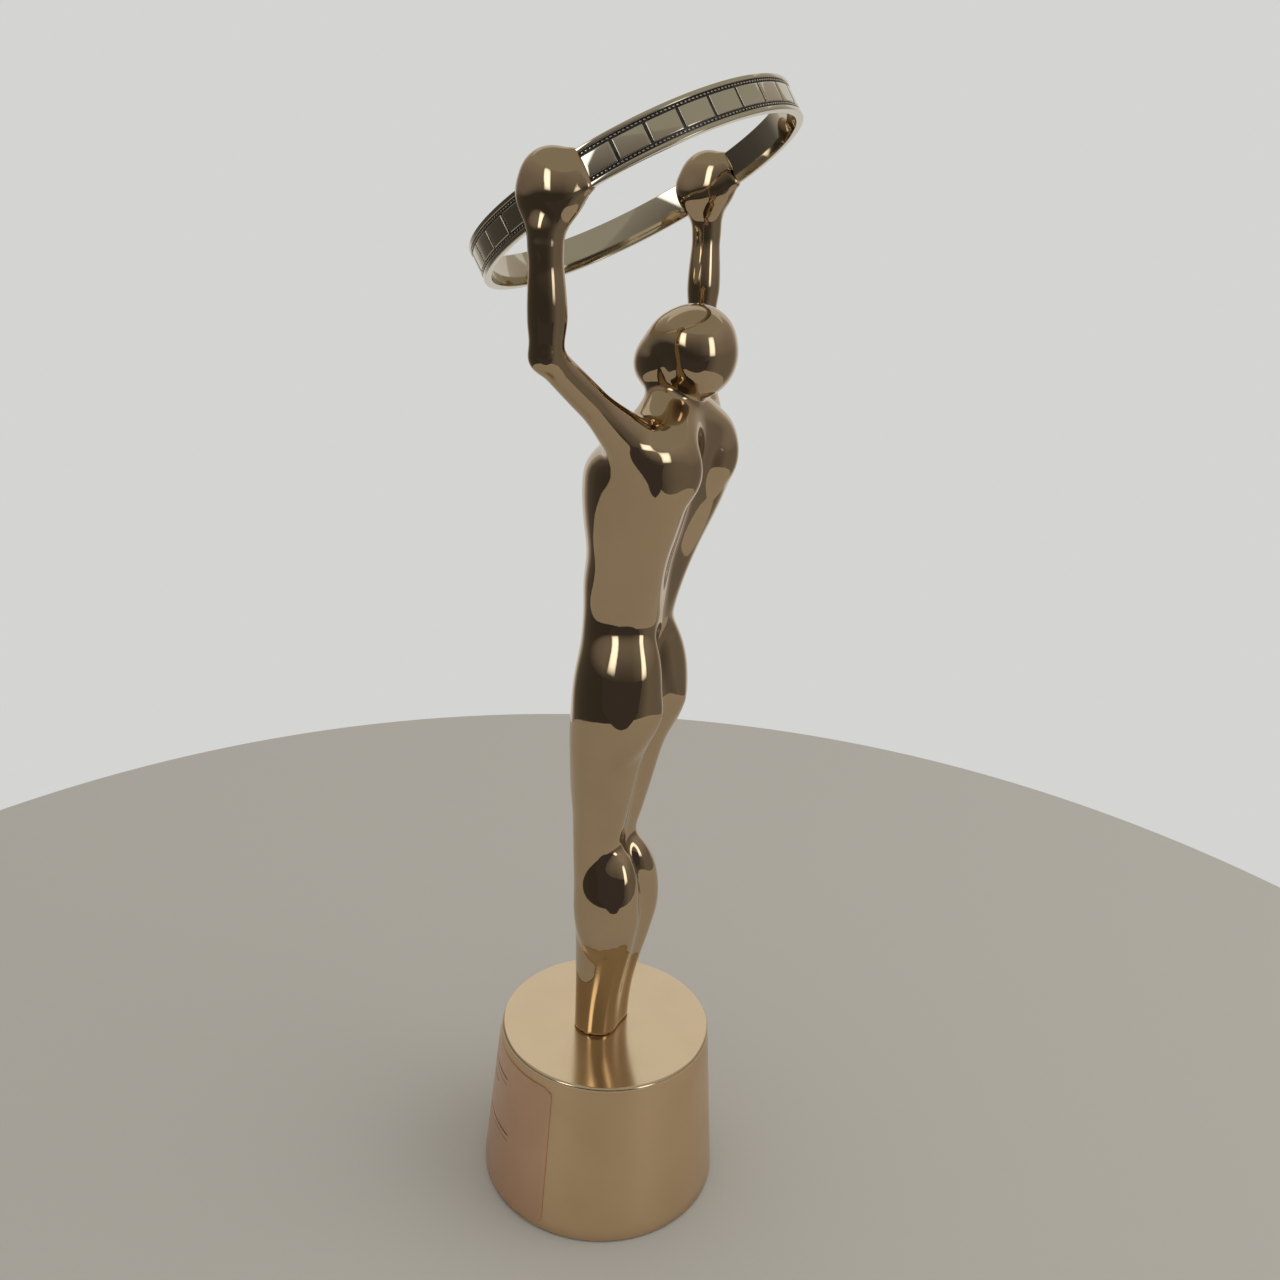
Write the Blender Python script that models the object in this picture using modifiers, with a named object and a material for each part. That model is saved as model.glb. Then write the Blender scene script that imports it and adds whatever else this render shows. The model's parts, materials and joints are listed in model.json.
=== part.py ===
"""Figure trophy: a slim polished figure on a turned base, holding a film-strip ring above its head.

Units are metres and +Z is up. The origin is the centre of the felt face that stands on the table.
The figure faces -Y, and its left hand is on the +X side.
"""
import math

import bmesh
import bpy
from mathutils import Matrix, Vector

MM = 0.001

# ---------------------------------------------------------------- fits
GAP = 0.3 * MM              # between pieces that touch on the real trophy
HOLE_CLEARANCE = 0.3 * MM   # round a pin, stud or screw in its hole

# ---------------------------------------------------------------- base
BASE_HEIGHT = 67.3 * MM         # table to polished top
BASE_TOP_RADIUS = 40.0 * MM
BASE_FOOT_RADIUS = 45.7 * MM
RIM_FILLET = 1.2 * MM
SHELL_WALL = 3.0 * MM
SHELL_TOP_THICKNESS = 5.0 * MM
FELT_THICKNESS = 1.0 * MM
FELT_INSET = 1.5 * MM           # felt edge inside the bottom plate edge
SHELL_LIFT = 0.5 * MM           # shell edge above the table
BOTTOM_PLATE_THICKNESS = 2.5 * MM
WEIGHT_SIDE_ROOM = 5.0 * MM     # between the weight and the narrow end of the shell

# ---------------------------------------------------------------- nameplate
PLATE_THICKNESS = 0.6 * MM
PLATE_TOP_MARGIN = 5.0 * MM     # below the polished top
PLATE_FOOT_MARGIN = 2.0 * MM    # above the shell edge
PLATE_EDGE_SETBACK = 0.5 * MM   # the plate ends this far in front of the side line

# ---------------------------------------------------------------- fasteners
STUD_RADIUS = 2.5 * MM
STUD_SPACING = 12.0 * MM        # one stud under each foot
STUD_IN_FOOT = 12.0 * MM
STUD_BELOW_NUT = 2.0 * MM
WASHER_RADIUS = 4.6 * MM
WASHER_THICKNESS = 1.0 * MM
SPRING_WASHER_RADIUS = 4.3 * MM
SPRING_WASHER_THICKNESS = 1.4 * MM
SPRING_WASHER_SLIT = 0.8 * MM
NUT_ACROSS_FLATS = 8.0 * MM
NUT_THICKNESS = 4.0 * MM
NUT_POCKET_DEPTH = 12.0 * MM    # hollow under the weight that the nuts sit in
NUT_POCKET_SIDE = 3.0 * MM      # room round the washers for a socket spanner
SCREW_COUNT = 3
SCREW_CIRCLE_RADIUS = 22.0 * MM
SCREW_RADIUS = 1.5 * MM
SCREW_HEAD_RADIUS = 3.0 * MM
SCREW_HEAD_THICKNESS = 1.6 * MM
SCREW_LENGTH = 12.0 * MM
SCREW_HOLE_SPARE = 1.5 * MM     # left under the screw tip

# ---------------------------------------------------------------- figure
# Height above the soles, half width, front, back, groove down the back, groove down the front (mm).
BODY_LEVELS = (
    (0, 12.3, -11.5, 7.5, 1.7, 2.0),        # soles
    (15, 12.3, -11.9, 8.8, 2.8, 2.0),       # ankles
    (29, 13.0, -12.4, 11.9, 4.7, 2.0),
    (43, 14.6, -12.7, 15.2, 6.4, 2.0),
    (55, 16.0, -13.6, 16.8, 7.3, 2.0),      # calves
    (67, 16.0, -14.8, 12.1, 4.9, 2.0),
    (81, 14.9, -15.3, 6.1, 2.8, 2.0),       # knees
    (91, 14.9, -15.5, 8.3, 4.9, 2.0),
    (105, 17.0, -16.2, 11.0, 6.0, 2.0),     # thighs
    (117, 20.0, -15.9, 13.2, 6.8, 1.8),
    (128, 22.3, -16.3, 17.0, 8.8, 1.5),
    (138, 22.8, -16.8, 21.0, 11.8, 1.0),    # seat
    (148, 21.6, -16.2, 19.5, 10.2, 0.5),
    (158, 19.6, -14.9, 16.0, 7.2, 0.3),
    (169, 18.3, -14.5, 14.0, 3.2, 0.5),     # waist
    (181, 19.4, -14.4, 16.8, 2.9, 0.8),
    (193, 22.0, -12.8, 20.5, 4.9, 1.0),
    (205, 25.0, -13.8, 24.8, 6.8, 1.2),     # chest
    (216, 27.0, -13.9, 28.0, 8.4, 1.2),
    (225, 27.0, -11.9, 29.0, 9.0, 0.8),     # shoulder blades
    (232, 25.0, -5.0, 28.5, 7.0, 0.5),
    (238, 16.0, 1.0, 24.5, 3.0, 0.3),
    (242, 8.0, 4.2, 20.4, 0.0, 0.0),        # foot of the neck
)
BODY_ROUNDNESS = 2.25       # 2 is an ellipse, more is boxier
BODY_GROOVE_WIDTH = 5.5     # mm
BODY_RINGS = 34
BODY_POINTS_ROUND = 36

NECK_RADIUS = 7.6 * MM
NECK_LENGTH = 10.0 * MM
NECK_Y = 12.3 * MM
HEAD_LIFT = 18.5 * MM                               # head centre above the foot of the neck
FACE_RADII = Vector((11.4, 14.4, 10.8)) * MM
FACE_TILT = math.radians(34)                       # looking up at the ring
FACE_FORWARD = 1.2 * MM                             # face ball ahead of the neck
FACE_DROP = 3.2 * MM
HAIR_RADII = Vector((13.3, 12.9, 14.3)) * MM
HAIR_BACK = 7.4 * MM                                # hair ball behind the neck
HAIR_DROP = 1.6 * MM

SHOULDER_X = 24.0 * MM
SHOULDER_Y = 12.0 * MM
SHOULDER_BELOW_NECK = 12.0 * MM
SHOULDER_CUT_RADIUS = 15.0 * MM
UPPER_ARM_RADII = (9.2, 6.8, 4.8, 4.4)             # shoulder to elbow, mm
FOREARM_RADII = (4.6, 5.0, 4.7, 4.2)                # elbow to wrist, mm
ARM_OUT = 3.4 * MM                                  # wrist outside the middle of the hand
ELBOW_IN = 1.8 * MM                                 # elbow nearer the head than the wrist
ARM_DOWN_TO_WRIST = 11.0 * MM                       # middle of the hand to the wrist
FOREARM_LENGTH = 34.0 * MM                          # wrist to elbow
HAND_BEHIND_SIDE = math.radians(2.8)                # place of the hand on the ring
HAND_LENGTH = 22.0 * MM                             # along the ring
HAND_COVER = 3.6 * MM                               # metal above and below the band
HAND_SIDE_COVER = 5.6 * MM                          # metal inside and outside the band
PIN_RADIUS = 1.8 * MM
PIN_LENGTH = 14.0 * MM

# ---------------------------------------------------------------- ring
RING_RADIUS = 53.6 * MM
RING_ABOVE_NECK = 63.5 * MM
RING_Y = -5.0 * MM
RING_TILT = math.radians(32.9)                      # the back edge is raised
BAND_WIDTH = 10.75 * MM
BAND_THICKNESS = 2.4 * MM
BAND_RIM = 1.3 * MM                                 # plain rim beside the recess
RECESS_DEPTH = 0.9 * MM
ENAMEL_THICKNESS = 0.4 * MM
RING_END_GAP = 6.0 * MM                             # between the two arcs, inside each hand
RING_STEPS = 64

# ---------------------------------------------------------------- places worked out from the sizes
TOP_OF_BASE = BASE_HEIGHT
SOLES = TOP_OF_BASE + GAP
NECK_FOOT = SOLES + BODY_LEVELS[-1][0] * MM
RING_CENTRE = Vector((0, RING_Y, NECK_FOOT + RING_ABOVE_NECK))
SHOULDER = Vector((SHOULDER_X, SHOULDER_Y, NECK_FOOT - SHOULDER_BELOW_NECK))
RING_FRAME = Matrix.Translation(RING_CENTRE) @ Matrix.Rotation(RING_TILT, 4, "X")
HAND_TURN = Matrix.Rotation(HAND_BEHIND_SIDE, 4, "Z")
HAND = RING_FRAME @ HAND_TURN @ Vector((RING_RADIUS - BAND_THICKNESS / 2, 0, 0))
WRIST = HAND + Vector((ARM_OUT, 0, -ARM_DOWN_TO_WRIST))
ELBOW = WRIST + Vector((-ELBOW_IN, 0, -FOREARM_LENGTH))
UNDER_TOP = TOP_OF_BASE - SHELL_TOP_THICKNESS
PLATE_BOTTOM = FELT_THICKNESS + GAP
PLATE_TOP = PLATE_BOTTOM + BOTTOM_PLATE_THICKNESS
WEIGHT_BOTTOM = PLATE_TOP + GAP
WEIGHT_TOP = UNDER_TOP - GAP
POCKET_ROOF = WEIGHT_BOTTOM + NUT_POCKET_DEPTH

COLOURS = {
    # name: (base colour, roughness, metallic)
    "figure_gold": ((0.72, 0.62, 0.42, 1), 0.06, 1.0),
    "ring_gold": ((0.78, 0.72, 0.58, 1), 0.08, 1.0),
    "enamel_black": ((0.02, 0.018, 0.02, 1), 0.35, 0.0),
    "base_gold": ((0.80, 0.62, 0.40, 1), 0.18, 1.0),
    "plate_copper": ((0.72, 0.50, 0.34, 1), 0.22, 1.0),
    "plated_steel": ((0.62, 0.62, 0.60, 1), 0.30, 1.0),
    "cast_weight": ((0.16, 0.16, 0.17, 1), 0.60, 0.8),
    "felt_black": ((0.03, 0.03, 0.035, 1), 0.95, 0.0),
}


# ---------------------------------------------------------------- scene helpers
def clear_scene():
    """Remove every object that the start file holds."""
    for thing in list(bpy.data.objects):
        bpy.data.objects.remove(thing, do_unlink=True)


def new_collection(name):
    """A collection of its own under the scene."""
    made = bpy.data.collections.new(name)
    bpy.context.scene.collection.children.link(made)
    return made


def material(name):
    """The Principled material with the colour, roughness and metallic value listed above."""
    made = bpy.data.materials.get(name)
    if made:
        return made
    colour, roughness, metallic = COLOURS[name]
    made = bpy.data.materials.new(name)
    made.use_nodes = True
    shader = made.node_tree.nodes["Principled BSDF"]
    shader.inputs["Base Color"].default_value = colour
    shader.inputs["Roughness"].default_value = roughness
    shader.inputs["Metallic"].default_value = metallic
    made.diffuse_color = colour
    return made


def add_object(name, mesh, finish=None, smooth=True):
    """Put a mesh into the scene, as a part with a finish or else as a hidden cutter."""
    thing = bpy.data.objects.new(name, mesh)
    if finish:
        mesh.materials.append(material(finish))
        PARTS.objects.link(thing)
    else:
        thing.hide_render = True
        thing.display_type = "WIRE"
        CUTTERS.objects.link(thing)
    for polygon in mesh.polygons:
        polygon.use_smooth = smooth
    return thing


def mesh_from(build, name):
    """A mesh filled by a bmesh building function."""
    work = bmesh.new()
    build(work)
    mesh = bpy.data.meshes.new(name)
    work.to_mesh(mesh)
    work.free()
    return mesh


def cylinder(name, radius, low, high, place=(0, 0), steps=24, finish=None, smooth=True):
    """An upright cylinder between two heights."""
    def build(work):
        middle = Matrix.Translation((place[0], place[1], (low + high) / 2))
        bmesh.ops.create_cone(work, cap_ends=True, segments=steps, radius1=radius,
                              radius2=radius, depth=high - low, matrix=middle)
    return add_object(name, mesh_from(build, name), finish, smooth)


def rod(name, radius, start, end, steps=16, finish=None):
    """A cylinder between two points."""
    axis = end - start
    turn = Vector((0, 0, 1)).rotation_difference(axis).to_matrix().to_4x4()

    def build(work):
        bmesh.ops.create_cone(work, cap_ends=True, segments=steps, radius1=radius, radius2=radius,
                              depth=axis.length, matrix=Matrix.Translation((start + end) / 2) @ turn)
    return add_object(name, mesh_from(build, name), finish)


def ball(name, centre, radii, turn=Matrix.Identity(4), finish=None, across=24, up=14):
    """An egg with three radii."""
    def build(work):
        stretch = Matrix.Diagonal((*radii, 1))
        bmesh.ops.create_uvsphere(work, u_segments=across, v_segments=up, radius=1,
                                  matrix=Matrix.Translation(centre) @ turn @ stretch)
    return add_object(name, mesh_from(build, name), finish)


def box(name, low, high):
    """A box cutter between two corners."""
    def build(work):
        size = Vector(high) - Vector(low)
        middle = (Vector(high) + Vector(low)) / 2
        bmesh.ops.create_cube(work, size=1, matrix=Matrix.Translation(middle) @ Matrix.Diagonal((*size, 1)))
    return add_object(name, mesh_from(build, name), smooth=False)


def turned(name, profile, steps, finish=None, closed=True):
    """A turned piece: an outline of (radius, height) points spun round Z by a Screw modifier.

    A closed outline makes a ring. An open one starts and ends on the axis and makes a solid.
    """
    mesh = bpy.data.meshes.new(name)
    points = [(radius, 0, height) for radius, height in profile]
    edges = [(i, i + 1) for i in range(len(points) - 1)]
    if closed:
        edges.append((len(points) - 1, 0))
    mesh.from_pydata(points, edges, [])
    thing = add_object(name, mesh, finish)
    screw = thing.modifiers.new("Turned", "SCREW")
    screw.steps = steps
    screw.render_steps = steps
    screw.use_merge_vertices = True
    screw.merge_threshold = 0.00001
    screw.use_smooth_shade = True
    return thing


def join(piece, *others):
    """Fuse helper solids into a piece."""
    apply_boolean(piece, "UNION", others)


def cut(piece, *cutters):
    """Cut hidden solids out of a piece."""
    apply_boolean(piece, "DIFFERENCE", cutters)


def apply_boolean(piece, operation, others):
    """Add one exact Boolean modifier for each of the other solids."""
    for other in others:
        step = piece.modifiers.new(f"{operation.title()} {other.name}", "BOOLEAN")
        step.operation = operation
        step.solver = "EXACT"
        step.object = other


# ---------------------------------------------------------------- base
def shell_radius(height):
    """Outer radius of the tapered shell at a height above the table."""
    share = (height - SHELL_LIFT) / (BASE_HEIGHT - SHELL_LIFT)
    return BASE_FOOT_RADIUS + (BASE_TOP_RADIUS - BASE_FOOT_RADIUS) * share


def stud_places():
    """Side name and X place of each foot stud."""
    return (("left", STUD_SPACING / 2), ("right", -STUD_SPACING / 2))


def make_base_shell():
    """A turned cup, open below, with a filleted rim and two stud holes through its top."""
    profile = [(0, TOP_OF_BASE)]
    for step in range(5):
        angle = math.radians(90 - 90 * step / 4)
        profile.append((BASE_TOP_RADIUS - RIM_FILLET + RIM_FILLET * math.cos(angle),
                        TOP_OF_BASE - RIM_FILLET + RIM_FILLET * math.sin(angle)))
    profile.append((BASE_FOOT_RADIUS, SHELL_LIFT))
    profile.append((BASE_FOOT_RADIUS - SHELL_WALL, SHELL_LIFT))
    profile.append((shell_radius(UNDER_TOP) - SHELL_WALL, UNDER_TOP))
    profile.append((0, UNDER_TOP))
    shell = turned("base_shell", profile, 56, "base_gold", closed=False)
    for side, x in stud_places():
        cut(shell, cylinder(f"shell_hole_{side}", STUD_RADIUS + HOLE_CLEARANCE,
                            UNDER_TOP - MM, TOP_OF_BASE + MM, (x, 0)))


def make_nameplate():
    """A thin plate wrapped round the front half of the shell."""
    low = SHELL_LIFT + PLATE_FOOT_MARGIN
    high = TOP_OF_BASE - PLATE_TOP_MARGIN
    inner_low = shell_radius(low) + GAP
    inner_high = shell_radius(high) + GAP
    profile = [(inner_high, high), (inner_high + PLATE_THICKNESS, high),
               (inner_low + PLATE_THICKNESS, low), (inner_low, low)]
    plate = turned("nameplate", profile, 56, "plate_copper")
    reach = BASE_FOOT_RADIUS * 2
    cut(plate, box("nameplate_back_half", (-reach, -PLATE_EDGE_SETBACK, 0), (reach, reach, BASE_HEIGHT)))


def make_weight():
    """The iron weight inside the shell, with stud holes, a nut pocket and tapped screw holes."""
    radius = BASE_TOP_RADIUS - SHELL_WALL - WEIGHT_SIDE_ROOM
    weight = cylinder("weight_block", radius, WEIGHT_BOTTOM, WEIGHT_TOP, steps=40, finish="cast_weight")
    pocket_half_length = STUD_SPACING / 2 + WASHER_RADIUS + NUT_POCKET_SIDE
    pocket_half_width = WASHER_RADIUS + NUT_POCKET_SIDE
    cut(weight, box("nut_pocket", (-pocket_half_length, -pocket_half_width, WEIGHT_BOTTOM - MM),
                    (pocket_half_length, pocket_half_width, POCKET_ROOF)))
    for side, x in stud_places():
        cut(weight, cylinder(f"weight_hole_{side}", STUD_RADIUS + HOLE_CLEARANCE,
                             POCKET_ROOF - MM, WEIGHT_TOP + MM, (x, 0)))
    for number, place in screw_places():
        cut(weight, cylinder(f"weight_tapping_{number}", SCREW_RADIUS + HOLE_CLEARANCE,
                             WEIGHT_BOTTOM - MM, PLATE_BOTTOM + SCREW_LENGTH + SCREW_HOLE_SPARE, place, 16))


def make_foot_fixings():
    """A stud up into each foot, held under the weight by a washer, a spring washer and a nut."""
    for side, x in stud_places():
        washer_top = POCKET_ROOF - GAP
        spring_top = washer_top - WASHER_THICKNESS - GAP
        nut_top = spring_top - SPRING_WASHER_THICKNESS - GAP
        nut_bottom = nut_top - NUT_THICKNESS
        place = (x, 0)
        bore = STUD_RADIUS + HOLE_CLEARANCE
        cylinder(f"foot_stud_{side}", STUD_RADIUS, nut_bottom - STUD_BELOW_NUT, SOLES + STUD_IN_FOOT,
                 place, finish="plated_steel")
        washer = cylinder(f"washer_{side}", WASHER_RADIUS, washer_top - WASHER_THICKNESS, washer_top,
                          place, finish="plated_steel")
        spring = cylinder(f"spring_washer_{side}", SPRING_WASHER_RADIUS,
                          spring_top - SPRING_WASHER_THICKNESS, spring_top, place, finish="plated_steel")
        nut = cylinder(f"nut_{side}", NUT_ACROSS_FLATS / math.sqrt(3), nut_bottom, nut_top,
                       place, 6, "plated_steel", smooth=False)
        through = cylinder(f"fixing_bore_{side}", bore, nut_bottom - MM, washer_top + MM, place)
        for piece in (washer, spring, nut):
            cut(piece, through)
        half_slit = SPRING_WASHER_SLIT / 2
        cut(spring, box(f"spring_slit_{side}", (x - half_slit, 0, nut_top - MM),
                        (x + half_slit, SPRING_WASHER_RADIUS * 2, washer_top)))


def screw_places():
    """Number and (x, y) place of each bottom screw."""
    for number in range(SCREW_COUNT):
        angle = math.radians(90) + math.tau * number / SCREW_COUNT
        yield number + 1, (SCREW_CIRCLE_RADIUS * math.cos(angle), SCREW_CIRCLE_RADIUS * math.sin(angle))


def screw_profile(grow=0.0, length=SCREW_LENGTH):
    """Outline of a countersunk screw standing on its head, grown on every side for its hole."""
    head = SCREW_HEAD_RADIUS + grow
    shank = SCREW_RADIUS + grow
    return [(0, length), (shank, length), (shank, SCREW_HEAD_THICKNESS + grow), (head, grow / 2),
            (head, -grow), (0, -grow)]


def make_bottom():
    """Bottom plate, its countersunk screws into the weight, and the felt that hides them."""
    plate_radius = shell_radius(PLATE_BOTTOM) - SHELL_WALL - GAP * 2
    plate = cylinder("bottom_plate", plate_radius, PLATE_BOTTOM, PLATE_TOP, steps=48, finish="plated_steel")
    for number, place in screw_places():
        screw = turned(f"bottom_screw_{number}", screw_profile(), 16, "plated_steel", closed=False)
        sink = turned(f"countersink_{number}", screw_profile(HOLE_CLEARANCE), 16, closed=False)
        for thing in (screw, sink):
            thing.location = (*place, PLATE_BOTTOM)
        cut(plate, sink)
    cylinder("felt_pad", plate_radius - FELT_INSET, 0, FELT_THICKNESS, steps=48, finish="felt_black")


# ---------------------------------------------------------------- figure
def smooth_value(height, column):
    """A body measure at a height, on a smooth curve through the listed levels."""
    rows = BODY_LEVELS
    upper = next((i for i in range(1, len(rows)) if rows[i][0] >= height), len(rows) - 1)
    lower = upper - 1

    def slope(i):
        before, after = rows[max(i - 1, 0)], rows[min(i + 1, len(rows) - 1)]
        return (after[column] - before[column]) / (after[0] - before[0])

    span = rows[upper][0] - rows[lower][0]
    t = (height - rows[lower][0]) / span
    start, end = rows[lower][column], rows[upper][column]
    return ((2 * t**3 - 3 * t**2 + 1) * start + (t**3 - 2 * t**2 + t) * span * slope(lower)
            + (-2 * t**3 + 3 * t**2) * end + (t**3 - t**2) * span * slope(upper))


def body_section(height):
    """Points round the body at a height: a rounded section with a groove front and back."""
    half_width, front, back, back_groove, front_groove = (smooth_value(height, c) for c in range(1, 6))
    middle = (front + back) / 2
    half_depth = (back - front) / 2
    points = []
    for step in range(BODY_POINTS_ROUND):
        angle = math.tau * step / BODY_POINTS_ROUND
        across = math.copysign(abs(math.cos(angle)) ** (2 / BODY_ROUNDNESS), math.cos(angle))
        along = math.copysign(abs(math.sin(angle)) ** (2 / BODY_ROUNDNESS), math.sin(angle))
        x = half_width * across
        y = middle + half_depth * along
        dip = math.exp(-(x / BODY_GROOVE_WIDTH) ** 2)
        y -= back_groove * dip * max(along, 0)
        y += front_groove * dip * max(-along, 0)
        points.append(Vector((x * MM, y * MM, SOLES + height * MM)))
    return points


def loft(name, sections, finish):
    """Skin a row of sections that all have the same number of points, and close both ends."""
    def build(work):
        rings = [[work.verts.new(point) for point in section] for section in sections]
        count = len(rings[0])
        for lower, upper in zip(rings, rings[1:]):
            for i in range(count):
                after = (i + 1) % count
                work.faces.new((lower[i], lower[after], upper[after], upper[i]))
        work.faces.new(reversed(rings[0]))
        work.faces.new(rings[-1])
    return add_object(name, mesh_from(build, name), finish)


def shoulder_axis(side):
    """Shoulder point and the direction of the upper arm, for the side whose X sign is given."""
    mirror = Vector((side, 1, 1))
    return SHOULDER * mirror, ((ELBOW - SHOULDER) * mirror).normalized()


def make_torso():
    """The casting from the soles to the foot of the neck, cut flat where each arm is brazed on."""
    top = BODY_LEVELS[-1][0]
    heights = [top * step / BODY_RINGS for step in range(BODY_RINGS + 1)]
    torso = loft("torso_and_legs", [body_section(height) for height in heights], "figure_gold")
    for side, x in stud_places():
        cut(torso, cylinder(f"foot_hole_{side}", STUD_RADIUS + HOLE_CLEARANCE, SOLES - MM,
                            SOLES + STUD_IN_FOOT + GAP * 2, (x, 0)))
    for side, sign in (("left", 1), ("right", -1)):
        shoulder, axis = shoulder_axis(sign)
        cut(torso, rod(f"shoulder_face_{side}", SHOULDER_CUT_RADIUS, shoulder,
                       shoulder + axis * SHOULDER_CUT_RADIUS * 2, 24))
        hole_end = shoulder - axis * (PIN_LENGTH / 2 + GAP)
        cut(torso, rod(f"shoulder_hole_{side}", PIN_RADIUS + HOLE_CLEARANCE, hole_end, shoulder + axis * MM))
        rod(f"shoulder_pin_{side}", PIN_RADIUS, shoulder + axis * (GAP / 2 - PIN_LENGTH / 2),
            shoulder + axis * (GAP / 2 + PIN_LENGTH / 2), finish="plated_steel")
    neck = Vector((0, NECK_Y, NECK_FOOT))
    down = Vector((0, 0, -PIN_LENGTH / 2))
    cut(torso, rod("neck_hole", PIN_RADIUS + HOLE_CLEARANCE, neck + down - Vector((0, 0, GAP)),
                   neck + Vector((0, 0, MM))))
    middle = Vector((0, 0, GAP / 2))
    rod("neck_pin", PIN_RADIUS, neck + down + middle, neck - down + middle, finish="plated_steel")


def make_head():
    """Neck, plain face and bobbed hair in one casting that sits on the neck pin."""
    low = NECK_FOOT + GAP
    centre = Vector((0, NECK_Y, NECK_FOOT + HEAD_LIFT))
    head = cylinder("head", NECK_RADIUS, low, low + NECK_LENGTH, (0, NECK_Y), 24, "figure_gold")
    face_turn = Matrix.Rotation(FACE_TILT, 4, "X")
    face = ball("head_face", centre + Vector((0, -FACE_FORWARD, -FACE_DROP)), FACE_RADII, face_turn)
    hair = ball("head_hair", centre + Vector((0, HAIR_BACK, -HAIR_DROP)), HAIR_RADII)
    join(head, face, hair)
    cut(head, rod("head_hole", PIN_RADIUS + HOLE_CLEARANCE, Vector((0, NECK_Y, low - MM)),
                  Vector((0, NECK_Y, low + PIN_LENGTH / 2 + GAP))))


def limb_mesh(name, points, radii):
    """A round limb whose thickness changes from point to point, made from a bevelled curve."""
    curve = bpy.data.curves.new(name, "CURVE")
    curve.dimensions = "3D"
    curve.bevel_depth = 1.0
    curve.bevel_resolution = 3
    curve.resolution_u = 3
    curve.use_fill_caps = True
    line = curve.splines.new("NURBS")
    line.points.add(len(points) - 1)
    line.order_u = 3
    line.use_endpoint_u = True
    for slot, point, radius in zip(line.points, points, radii):
        slot.co = (*point, 1)
        slot.radius = radius * MM
    holder = bpy.data.objects.new(name, curve)
    mesh = bpy.data.meshes.new_from_object(holder)
    bpy.data.objects.remove(holder)
    bpy.data.curves.remove(curve)
    return mesh


def between(start, end, count):
    """Points from start to end, both included."""
    return [start.lerp(end, step / (count - 1)) for step in range(count)]


def make_arm(side, sign):
    """A raised arm whose closed hand is a sleeve round the ring."""
    mirror = Vector((sign, 1, 1))
    shoulder, axis = shoulder_axis(sign)
    elbow = ELBOW * mirror
    hand = HAND * mirror
    upper = between(shoulder + axis * GAP, elbow, len(UPPER_ARM_RADII) + 1)[:-1]
    lower = between(elbow, WRIST * mirror, len(FOREARM_RADII))
    radii = (*UPPER_ARM_RADII, *FOREARM_RADII, FOREARM_RADII[-1])
    limb = limb_mesh(f"{side}_arm", [*upper, *lower, hand], radii)
    arm = add_object(f"{side}_arm", limb, "figure_gold")
    hand_radii = Vector((BAND_THICKNESS / 2 + HAND_SIDE_COVER, HAND_LENGTH / 2, BAND_WIDTH / 2 + HAND_COVER))
    join(arm, ball(f"{side}_hand", hand, hand_radii, Matrix.Rotation(RING_TILT, 4, "X")))
    cut(arm, rod(f"{side}_arm_face", SHOULDER_CUT_RADIUS, shoulder - axis * SHOULDER_CUT_RADIUS,
                 shoulder + axis * GAP, 24))
    cut(arm, rod(f"{side}_arm_hole", PIN_RADIUS + HOLE_CLEARANCE, shoulder - axis * MM,
                 shoulder + axis * (PIN_LENGTH / 2 + GAP * 2)))
    cut(arm, BAND_SLOT)


# ---------------------------------------------------------------- ring
def band_profile(grow=0.0):
    """Plain outline of the band, grown on every side for the slot through the hands."""
    outer = RING_RADIUS + grow
    inner = RING_RADIUS - BAND_THICKNESS - grow
    half = BAND_WIDTH / 2 + grow
    return [(inner, half), (outer, half), (outer, -half), (inner, -half)]


def recessed_profile():
    """Outline of the band with a shallow recess between its two rims."""
    half = BAND_WIDTH / 2
    floor = RING_RADIUS - RECESS_DEPTH
    inner = RING_RADIUS - BAND_THICKNESS
    recess = half - BAND_RIM
    return [(inner, half), (RING_RADIUS, half), (RING_RADIUS, recess), (floor, recess),
            (floor, -recess), (RING_RADIUS, -recess), (RING_RADIUS, -half), (inner, -half)]


def enamel_profile():
    """Outline of the black strip that lies in the recess."""
    floor = RING_RADIUS - RECESS_DEPTH + GAP
    half = BAND_WIDTH / 2 - BAND_RIM - GAP
    top = floor + ENAMEL_THICKNESS
    return [(floor, half), (top, half), (top, -half), (floor, -half)]


def ring_piece(name, profile, finish, front, end_gap):
    """Half of a turned hoop, ended by a gap at each hand."""
    piece = turned(name, profile, RING_STEPS, finish)
    piece.matrix_world = RING_FRAME
    reach = RING_RADIUS * 1.5
    middle = RING_RADIUS * math.sin(HAND_BEHIND_SIDE)
    near, far = (middle - end_gap / 2, reach) if front else (-reach, middle + end_gap / 2)
    keep_off = box(f"{name}_end_cutter", (-reach, near, -BAND_WIDTH), (reach, far, BAND_WIDTH))
    keep_off.matrix_world = RING_FRAME
    cut(piece, keep_off)


def make_ring():
    """Two film-strip arcs whose ends sit in the hands, each with its black enamel."""
    for half, front in (("front", True), ("rear", False)):
        ring_piece(f"ring_{half}_arc", recessed_profile(), "ring_gold", front, RING_END_GAP)
        ring_piece(f"enamel_{half}_strip", enamel_profile(), "enamel_black", front, HAND_LENGTH)


clear_scene()
PARTS = new_collection("figure_trophy")
CUTTERS = new_collection("cutters")
BAND_SLOT = turned("band_slot", band_profile(GAP), RING_STEPS)
BAND_SLOT.matrix_world = RING_FRAME
make_base_shell()
make_nameplate()
make_weight()
make_foot_fixings()
make_bottom()
make_torso()
make_head()
make_arm("left", 1)
make_arm("right", -1)
make_ring()
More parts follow.
